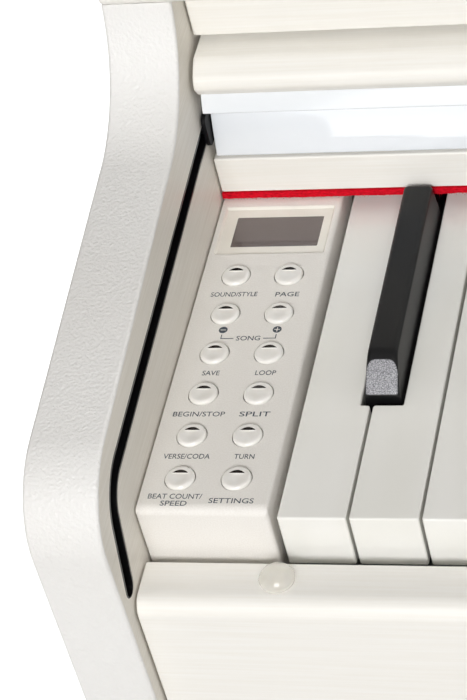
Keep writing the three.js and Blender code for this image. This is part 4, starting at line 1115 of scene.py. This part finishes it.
def control_block():
    """The left block: twelve button holes, and a shallow recess with a bevelled rim round the window."""
    holes = [
        (circle(*button_place(column, row), BUTTON_RADIUS + BUTTON_FIT), BLOCK_WALL)
        for row in range(BUTTON_ROWS)
        for column in range(2)
    ]
    recess = rectangle(RECESS_X, RECESS_Y, 0.9)
    heap = block_shell(Heap(), holes + [(recess, -0.001)])
    floor_z = BLOCK_HIGH[2] - RECESS_STEP
    inner = inset(recess, 0.75)
    bevel = np.vstack([lift(recess, BLOCK_HIGH[2] - 0.001, "z"), lift(inner, floor_z, "z")])
    heap.add(bevel, [face[::-1] for face in strip_faces(2, len(recess))], mark=1)
    window = rectangle(*WINDOW, 0.4)
    cap(heap, inner, floor_z, holes=[(window, BLOCK_WALL - RECESS_STEP)], mark=1)
    heap.finish("control_block", [MOULDED, BEZEL], "cabinet", "moulded_white", sharp=30)


def display_window():
    """The glass, a hair below the recess it sits in."""
    low, high = node_box("display_window")
    heap = slab(Heap(), rectangle(*WINDOW, 0.4), low[2], high[2] - 0.12, 0.1)
    heap.finish("display_window", DISPLAY, "cabinet", "display_glass")


def end_block_right():
    """The right block, drawn at the left like its neighbour and then mirrored."""
    holes = [(circle(BLOCK_MIDDLE, KNOB_Y, KNOB_HOLE), BLOCK_WALL)]
    holes.append((circle(BLOCK_MIDDLE, POWER_Y, BUTTON_RADIUS + BUTTON_FIT), BLOCK_WALL))
    heap = block_shell(Heap(), holes).mirrored()
    heap.finish("end_block_right", MOULDED, "cabinet", "moulded_white", sharp=30)


def push_button(name, x, y, lit=True):
    """A turned cap with a broad round rim and a slightly dished face, on its flange and stem. A dark
    crescent lens lies in the face, behind its middle: both of its edges are parabolas that bow away
    from the player. A low ridge runs along its near edge."""
    top = BLOCK_HIGH[2] + BUTTON_PROUD
    under = BLOCK_HIGH[2] - BLOCK_WALL - ROOM
    rim, dish = 1.15, 0.3
    stem, stem_end, flange, flange_thickness = 2.5, under - 6, BUTTON_RADIUS + 1.2, 1.2
    face = BUTTON_RADIUS - rim
    inwards = (0.12, 0.25, 0.45, 0.7)  # shares of the way to the middle
    dished = [[face * (1 - t), top - dish * math.sin(t * math.pi / 2) ** 2] for t in inwards]
    profile = (
        [[0, stem_end], [stem, stem_end], [stem, under - flange_thickness]]
        + [[flange, under - flange_thickness], [flange, under], [BUTTON_RADIUS, under]]
        + fillet((face, top - rim), rim, 0, 90, 7)
        + dished
        + [[0, top - dish]]
    )
    heap = turned(Heap(), profile, x, y, 48)
    if lit:
        half_width, chord = 2.65, 1.55
        across = np.linspace(-1, 1, 25)[:, None]
        bow = np.hstack([half_width * across, 1 - across**2])
        lens = np.vstack([bow[::-1] * (1, 1.3), bow[1:-1] * (1, 0.15)]) + (x, y + chord)
        slab(heap, lens, top - 2 * dish, top + 0.03, 0.04, mark=1, steps=2)
        ridge = rectangle((x - half_width, x + half_width), (y + chord - 0.35, y + chord - 0.02), 0.1)
        slab(heap, ridge, top - 2 * dish, top + 0.08, 0.12, low_edge=0.01, steps=3)
    heap.finish(name, [BUTTON, LENS], name, "button_white", sharp=40)


def push_buttons():
    """Two columns of six on the left block, and the power button on the right one."""
    for row in range(BUTTON_ROWS):
        for column, side in enumerate(("left", "right")):
            push_button(f"button_{row + 1}_{side}", *button_place(column, row))
    push_button("power_button", -BLOCK_MIDDLE, POWER_Y, lit=False)


LEGENDS = [  # words, left and right ends and baseline, from the block's right edge and the key fronts
    ("SOUND/STYLE", -38.6, -22.0, 97.0),
    ("PAGE", -15.5, -7.1, 96.7),
    ("SONG", -25.3, -16.9, 75.45),
    ("SAVE", -33.9, -27.85, 59.0),
    ("LOOP", -15.4, -8.3, 59.0),
    ("BEGIN/STOP", -40.0, -22.15, 40.0),
    ("SPLIT", -17.2, -6.7, 40.0),
    ("VERSE/CODA", -39.2, -23.4, 21.0),
    ("TURN", -15.2, -8.4, 21.0),
    ("BEAT COUNT/", -40.6, -22.5, 3.5),
    ("SPEED", -35.9, -27.0, 0.5),
    ("SETTINGS", -19.9, -4.95, 1.75),
]
CAP_HEIGHT = 2.1
FONT_CAP = 0.69  # the built-in font's capitals, in its own units
INK_THICKNESS = 0.03
SIGN_Y = 80.55  # minus and plus
SIGN_RADIUS = 1.55
BRACKET_Y = 76.4
BRACKET_TOP = 78.3
BRACKET_HALF_LINE = 0.16


def letters(words):
    """The words in the built-in font, as a mesh one unit thick."""
    data = bpy.data.curves.new("legend", "FONT")
    data.body = words
    data.extrude = 0.5
    data.offset = 0.005
    data.resolution_u = 3
    shown = bpy.data.objects.new("legend", data)
    bpy.context.scene.collection.objects.link(shown)
    mesh = bpy.data.meshes.new_from_object(shown.evaluated_get(bpy.context.evaluated_depsgraph_get()))
    points = np.array([v.co for v in mesh.vertices])
    faces = [list(p.vertices) for p in mesh.polygons]
    bpy.data.objects.remove(shown)
    bpy.data.curves.remove(data)
    bpy.data.meshes.remove(mesh)
    return points, faces


def legends():
    """Each legend is stretched to its own length and height, and pressed flat on the block. Two discs
    with a bar or a cross in them stand for minus and plus, and a bracket joins them to their word."""
    heap = Heap()
    right, _, top = BLOCK_HIGH
    thickness = INK_THICKNESS

    def print_shape(outline):
        slab(heap, outline, top - 0.01, top + thickness, 0.01, steps=1)

    for words, x0, x1, y in LEGENDS:
        points, faces = letters(words)
        low, high = points.min(0), points.max(0)
        scale = np.array([(x1 - x0) / (high[0] - low[0]), CAP_HEIGHT / FONT_CAP, thickness])
        points = (points - [low[0], 0, -0.5]) * scale + [right + x0, y, top - 0.01]
        heap.add(points, faces)
    for x, bars in ((-30.7, [0]), (-11.7, [0, math.pi / 2])):
        x += right
        print_shape(circle(x, SIGN_Y, SIGN_RADIUS, 24))
        for angle in bars:
            bar = rectangle((-0.95, 0.95), (-0.17, 0.17)) @ turn(angle) + [x, SIGN_Y]
            slab(heap, bar, top, top + thickness + 0.01, 0.005, mark=1, steps=1)
    line = BRACKET_HALF_LINE
    for outer, inner in ((-30.75, -26.3), (-11.6, -15.9)):
        outer, inner = outer + right, inner + right
        print_shape(rectangle(sorted((outer, inner)), (BRACKET_Y - line, BRACKET_Y + line)))
        print_shape(rectangle((outer - line, outer + line), (BRACKET_Y - line, BRACKET_TOP)))
    heap.build("block_legends", [INK, MOULDED], "cabinet", slot="moulded_white")


def volume_knob():
    """A turned cap on a shaft, with a slight taper and a rounded rim, and a pointer line in its face."""
    low, high = node_box("volume_knob")
    x = -BLOCK_MIDDLE
    base = BLOCK_HIGH[2] + ROOM
    radius = (high[0] - low[0]) / 2
    shaft, chamfer, rim = 3.0, 0.3, 1.2
    profile = (
        [[0, low[2]], [shaft, low[2]], [shaft, base], [radius - chamfer, base], [radius, base + chamfer]]
        + fillet((radius - 1.8, high[2] - rim), rim, 0, 90, 6)
        + [[radius - 3.2, high[2] - 0.15], [0, high[2] - 0.3]]
    )
    heap = turned(Heap(), profile, x, KNOB_Y, 72)
    pointer = rectangle((x - 0.5, x + 0.5), (KNOB_Y + 3.5, KNOB_Y + radius - 2.4), 0.4)
    slab(heap, pointer, base, high[2] + 0.03, 0.03, mark=1)
    heap.finish("volume_knob", [BUTTON, INK], "volume_knob", "button_white")


# ---- Keys ------------------------------------------------------------------------------------------

OCTAVE = 7 * WHITE_PITCH
FIRST_WHITE = 5  # the lowest key is A, the sixth white key of its octave
BLACK_STEPS = (1, 3, 6, 8, 10)
KEY_EDGE = 0.7
BAR = 12.0  # depth of the bar that joins the tails of a section's keys


def white_left(k):
    """Left side of the kth white key, counted from nought."""
    return FIELD_LEFT + k * WHITE_PITCH


BLACK_PLACES = [
    (octave, white_left(octave * 7 - FIRST_WHITE) + (step + 0.5) * OCTAVE / 12)
    for octave in range(8)
    for step in BLACK_STEPS
    if 0 < octave * 7 - FIRST_WHITE + (step + 0.5) * 7 / 12 < WHITE_COUNT
]


def white_key(heap, k):
    """A white key: a slab of its plan, notched beside the black keys, above a plain front wall."""
    left = white_left(k)
    right = left + WHITE_PITCH - KEY_GAP
    middle = (left + right) / 2
    near = [x for _, x in BLACK_PLACES if left - SLOT_HALF < x < right + SLOT_HALF]
    tail_left = max([left] + [x + SLOT_HALF for x in near if x < middle])
    tail_right = min([right] + [x - SLOT_HALF for x in near if x > middle])
    plan = [(left, 0, 0.8), (right, 0, 0.8)]
    if tail_right < right:
        plan += [(right, SLOT_FRONT, 1.0), (tail_right, SLOT_FRONT, 0.5)]
    plan += [(tail_right, KEY_TAIL), (tail_left, KEY_TAIL)]
    if tail_left > left:
        plan += [(tail_left, SLOT_FRONT, 0.5), (left, SLOT_FRONT, 1.0)]
    slab(heap, rounded(plan), -WHITE_BODY, 0, KEY_EDGE, low_edge=0.05, steps=4)
    front = rounded([(left, 0, 0.8), (right, 0, 0.8), (right, 4), (left, 4)])
    slab(heap, front, -WHITE_FRONT, 0.1 - WHITE_BODY, 0.02, low_edge=0.5, steps=2)
    return heap


def white_keys():
    """Three loose keys at the bottom, and three sections whose tails are joined by a bar."""
    sections = {
        "key_a0": (0, 1),
        "key_b0": (1, 2),
        "key_c1": (2, 3),
        "white_keys_low": (3, 16),
        "white_keys_middle": (16, 37),
        "white_keys_high": (37, WHITE_COUNT),
    }
    for name, (first, last) in sections.items():
        heap = Heap()
        for k in range(first, last):
            white_key(heap, k)
        if last - first > 1:
            x = (white_left(first) + 1, white_left(last) - KEY_GAP - 1)
            board(heap, x, (KEY_TAIL - BAR, KEY_TAIL), (-20, -13.5), 0.5)
        heap.finish(name, WHITE_KEY, name, "key_white", sharp=40)


BLACK_UNDER = -10.0
BLACK_SKIRT = 2.3  # height of the upright face under the front slope
BLACK_SLOPE_RUN = 10.0
BLACK_TOP_HALF = 5.1
BLACK_BASE_HALF = 6.25
BLACK_TAIL_HALF = 4.75
BLACK_CORNER = 1.5


def black_shape():
    """One black key about x = 0. Each cross-section is a trapezium with rounded shoulders; its height
    climbs the front slope and levels off along a soft maximum, and it shrinks a little at both ends."""
    blend, front_round, back_round = 1.1, 0.6, 1.2
    y = np.concatenate([
        BLACK_FRONT + front_round * (1 - np.cos(np.linspace(0, math.pi / 2, 4))),
        np.linspace(BLACK_FRONT + 1.1, BLACK_FRONT + 13, 22),
        np.linspace(BLACK_FRONT + 16, BLACK_BACK - 2, 10),
        BLACK_BACK - back_round * (1 - np.sin(np.linspace(0, math.pi / 2, 4))),
    ])
    climb = BLACK_SKIRT + (y - BLACK_FRONT) * (BLACK_RISE - BLACK_SKIRT) / BLACK_SLOPE_RUN
    height = BLACK_RISE - blend * np.log1p(np.exp((BLACK_RISE - climb) / blend))
    height = np.maximum(height, BLACK_SKIRT + 0.1)
    front_end = np.clip((y - BLACK_FRONT) / front_round, 0, 1)
    back_end = np.clip((BLACK_BACK - y) / back_round, 0, 1)
    shrink = 0.6 * (1 - np.sqrt(1 - (1 - front_end) ** 2)) + 1.0 * (1 - np.sqrt(1 - (1 - back_end) ** 2))
    quarter = np.linspace(0, math.pi / 2, 6)
    inner = np.linspace(1, -1, 13)[1:-1]
    rows = []

    def half(z, less):
        return BLACK_BASE_HALF + (BLACK_TOP_HALF - BLACK_BASE_HALF) * max(z, 0) / BLACK_RISE - less

    for along, top, less in zip(y, height, shrink):
        top -= less * 0.6
        shoulder = min(BLACK_CORNER, (top + 1) / 2)
        flat = half(top, less) - shoulder
        right = [(half(z, less), z) for z in (BLACK_UNDER, BLACK_UNDER / 2, 0)]
        lip = [(flat + shoulder * math.cos(t), top - shoulder * (1 - math.sin(t))) for t in quarter]
        level = [(flat * f, top) for f in inner]
        left = [(-x, z) for x, z in (right + lip)[::-1]]
        rows.append([(x, along, z) for x, z in right + lip + level + left])
    return np.array(rows)


def slope_highlight_mask(grid):
    """How far inside the painted highlight on the front slope a point lies: the least of its distances to
    the highlight's sides and ends, with the upper corners rounded."""
    x, y, z = np.abs(grid[..., 0]), grid[..., 1], grid[..., 2]
    corner = 3.3
    half, top = 5.3, BLACK_FRONT + 8.6
    low = z - BLACK_SKIRT - 0.15
    dx, dy = x - (half - corner), y - (top - corner)
    outside = np.hypot(np.maximum(dx, 0), np.maximum(dy, 0)) + np.minimum(np.maximum(dx, dy), 0)
    return np.minimum(corner - outside, low)


def black_keys():
    """One loose key and three sections. The tails are joined by a bar that stands on them."""
    grid = black_shape()
    rows, columns = grid.shape[:2]
    # where each key's painted highlight lies on its front slope
    painted_highlight = slope_highlight_mask(grid).ravel()
    around = [face[::-1] for face in strip_faces(rows, columns)]
    ends = [list(range(columns)), list(range((rows - 1) * columns, rows * columns))[::-1]]
    first = BLACK_PLACES[0][1]
    sections = {"key_a_sharp0": [first]}
    for name, octaves in (("low", (1, 2)), ("middle", (3, 4, 5)), ("high", (6, 7))):
        sections[f"black_keys_{name}"] = [x for octave, x in BLACK_PLACES if octave in octaves]
    for name, places in sections.items():
        heap = Heap()
        for x in places:
            heap.add(grid.reshape(-1, 3) + [x, 0, 0], around + ends)
        shown = heap.count
        for x in places:
            tail = (x - BLACK_TAIL_HALF, x + BLACK_TAIL_HALF)
            board(heap, tail, (BLACK_BACK - 3, KEY_TAIL), (BLACK_UNDER, -0.2), 0.4)
        if len(places) > 1:
            board(heap, (places[0] - 4.7, places[-1] + 4.7), (KEY_TAIL - BAR, KEY_TAIL), (-0.5, 7.4), 0.5)
        values = np.full(heap.count, -1.0)
        values[:shown] = np.tile(painted_highlight, len(places))
        heap.finish(name, BLACK_KEY, name, "key_black", sharp=60, values={"painted_highlight": values})


# ---- Music rest, pedals and underside --------------------------------------------------------------

REST_HINGE = np.array([0, BACK_Y - 196, 115.8])  # just above the top board


def music_rest():
    """The desk, its ledge and the stop along the ledge, drawn upright about the hinge and leant back."""
    low, high = node_box("music_rest")
    half = (high[0] - low[0]) / 2
    height, thickness, ledge, lean = 185.0, 10.0, 26.0, math.radians(18)
    outline = rounded([(0, -half, 2), (0, half, 2), (height, half, 30), (height, -half, 30)][::-1])
    heap = slab(Heap(), outline, -thickness, 0, 1.5, "y")
    section = rectangle((-thickness - ledge, 0.5 - thickness), (0, thickness), 1.5)
    slab(heap, section, -half, half, 1.5, "x")
    stop = rectangle((-thickness - ledge, 5 - thickness - ledge), (1, thickness + 6), 2)
    slab(heap, stop, -half, half, 1.5, "x")
    leaning = np.eye(3)
    leaning[1:, 1:] = turn(-lean)
    leant = heap.moved(lambda p: p @ leaning + REST_HINGE)
    leant.finish("music_rest", FOIL, "music_rest", "woodgrain_foil")


PEDAL_HEIGHT = 72.0  # middle of the pedals' bars


def pedals():
    """A brass bar that widens to a rounded shoe: a slab of its plan whose upper edge is broadly rounded."""
    box_low, box_high = node_box("pedal_box")
    for name in ("pedal_soft", "pedal_sostenuto", "pedal_sustain"):
        low, high = node_box(name)
        x = (low[0] + high[0]) / 2
        wide, narrow = 11.0, 6.6
        half_thickness, pin = 4.5, 3.5
        z = FLOOR_Z + PEDAL_HEIGHT
        rear = box_high[1] - 15
        plan = rounded([
            (x - wide, low[1], wide * 0.9),
            (x + wide, low[1], wide * 0.9),
            (x + wide, box_low[1] - 20, 10),
            (x + narrow, box_low[1] + 10, 10),
            (x + narrow, rear),
            (x - narrow, rear),
            (x - narrow, box_low[1] + 10, 10),
            (x - wide, box_low[1] - 20, 10),
        ])
        heap = slab(Heap(), plan, z - half_thickness, z + half_thickness, 3.4, low_edge=1.5, steps=7)
        slab(heap, circle(rear - 6, z, pin), x - wide - 4, x + wide + 4, 0.4, "x")
        heap.finish(name, BRASS, name, "brass", sharp=50)


def pedal_adjuster():
    """A turned foot disc under a screw, whose thread is drawn as rings."""
    low, high = node_box("pedal_adjuster")
    x, y = (low[:2] + high[:2]) / 2
    radius = (high[0] - low[0]) / 2
    rim = 12.0
    core, crest, pitch = 4.4, 5.0, 1.25
    profile = (
        [[0, low[2]], [radius - 2, low[2]]]
        + fillet((radius - 1.5, low[2] + 1.5), 1.5, -80, 0, 4)
        + fillet((radius - 1.5, low[2] + rim - 1.5), 1.5, 0, 90, 4)
    )
    z = low[2] + rim + 0.2
    while z < high[2] - 1.2:
        profile += [[core, z], [crest, z + 0.5], [core, z + 1.0]]
        z += pitch
    heap = turned(Heap(), profile + [[4.2, high[2]], [0, high[2]]], x, y, 48)
    heap.finish("pedal_adjuster", BLACK, "pedal_adjuster", "dark_plastic")


def speakers():
    """A loudspeaker facing down: a flange with a rolled rim, round a shallow cone with a domed middle,
    both under cloth."""
    low, high = node_box("speaker_left")
    x, y = (low[:2] + high[:2]) / 2
    radius = (high[0] - low[0]) / 2
    face = low[2]
    dome, magnet = 20.0, 28.0
    profile = [[0, face + 1.4], [dome, face + 3.4], [radius - 12, face + 2.0], [radius - 10.5, face]]
    profile += fillet((radius - 1.2, face + 1.2), 1.2, -90, 0, 4)
    profile += [[radius, face + 3], [radius - 8, face + 3], [radius - 8, face + 7]]
    profile += [[magnet, high[2] - 5.5], [magnet, high[2] - 0.4], [magnet - 0.4, high[2]], [0, high[2]]]
    bands = len(profile) - 1
    marks = [1, 1, 1] + [0] * (bands - 3)
    heap = turned(Heap(), profile, x, y, 72, marks)
    build_pair(heap, "speaker", [BLACK, CLOTH], "cabinet", "dark_plastic")


def build_object():
    """Every piece. The other CAD nodes, which are inside, only get their finishes."""
    side_panels()
    guide_rails()
    cabinet_boards()
    key_slip()
    rear_panel()
    back_screws()
    socket_plate()
    felt_strip()
    bumpers()
    cover_nose()
    cover_lip()
    cover_carriages()
    softened("cover_board", 1.0, FOIL, "sliding_cover")
    control_block()
    display_window()
    end_block_right()
    push_buttons()
    legends()
    volume_knob()
    white_keys()
    black_keys()
    music_rest()
    pedals()
    softened("pedal_box", 2.0, MOULDED, "cabinet", segments=3)
    pedal_adjuster()
    speakers()
    dress_cad_nodes()


place_camera()
light_scene()
lay_studio()
build_object()
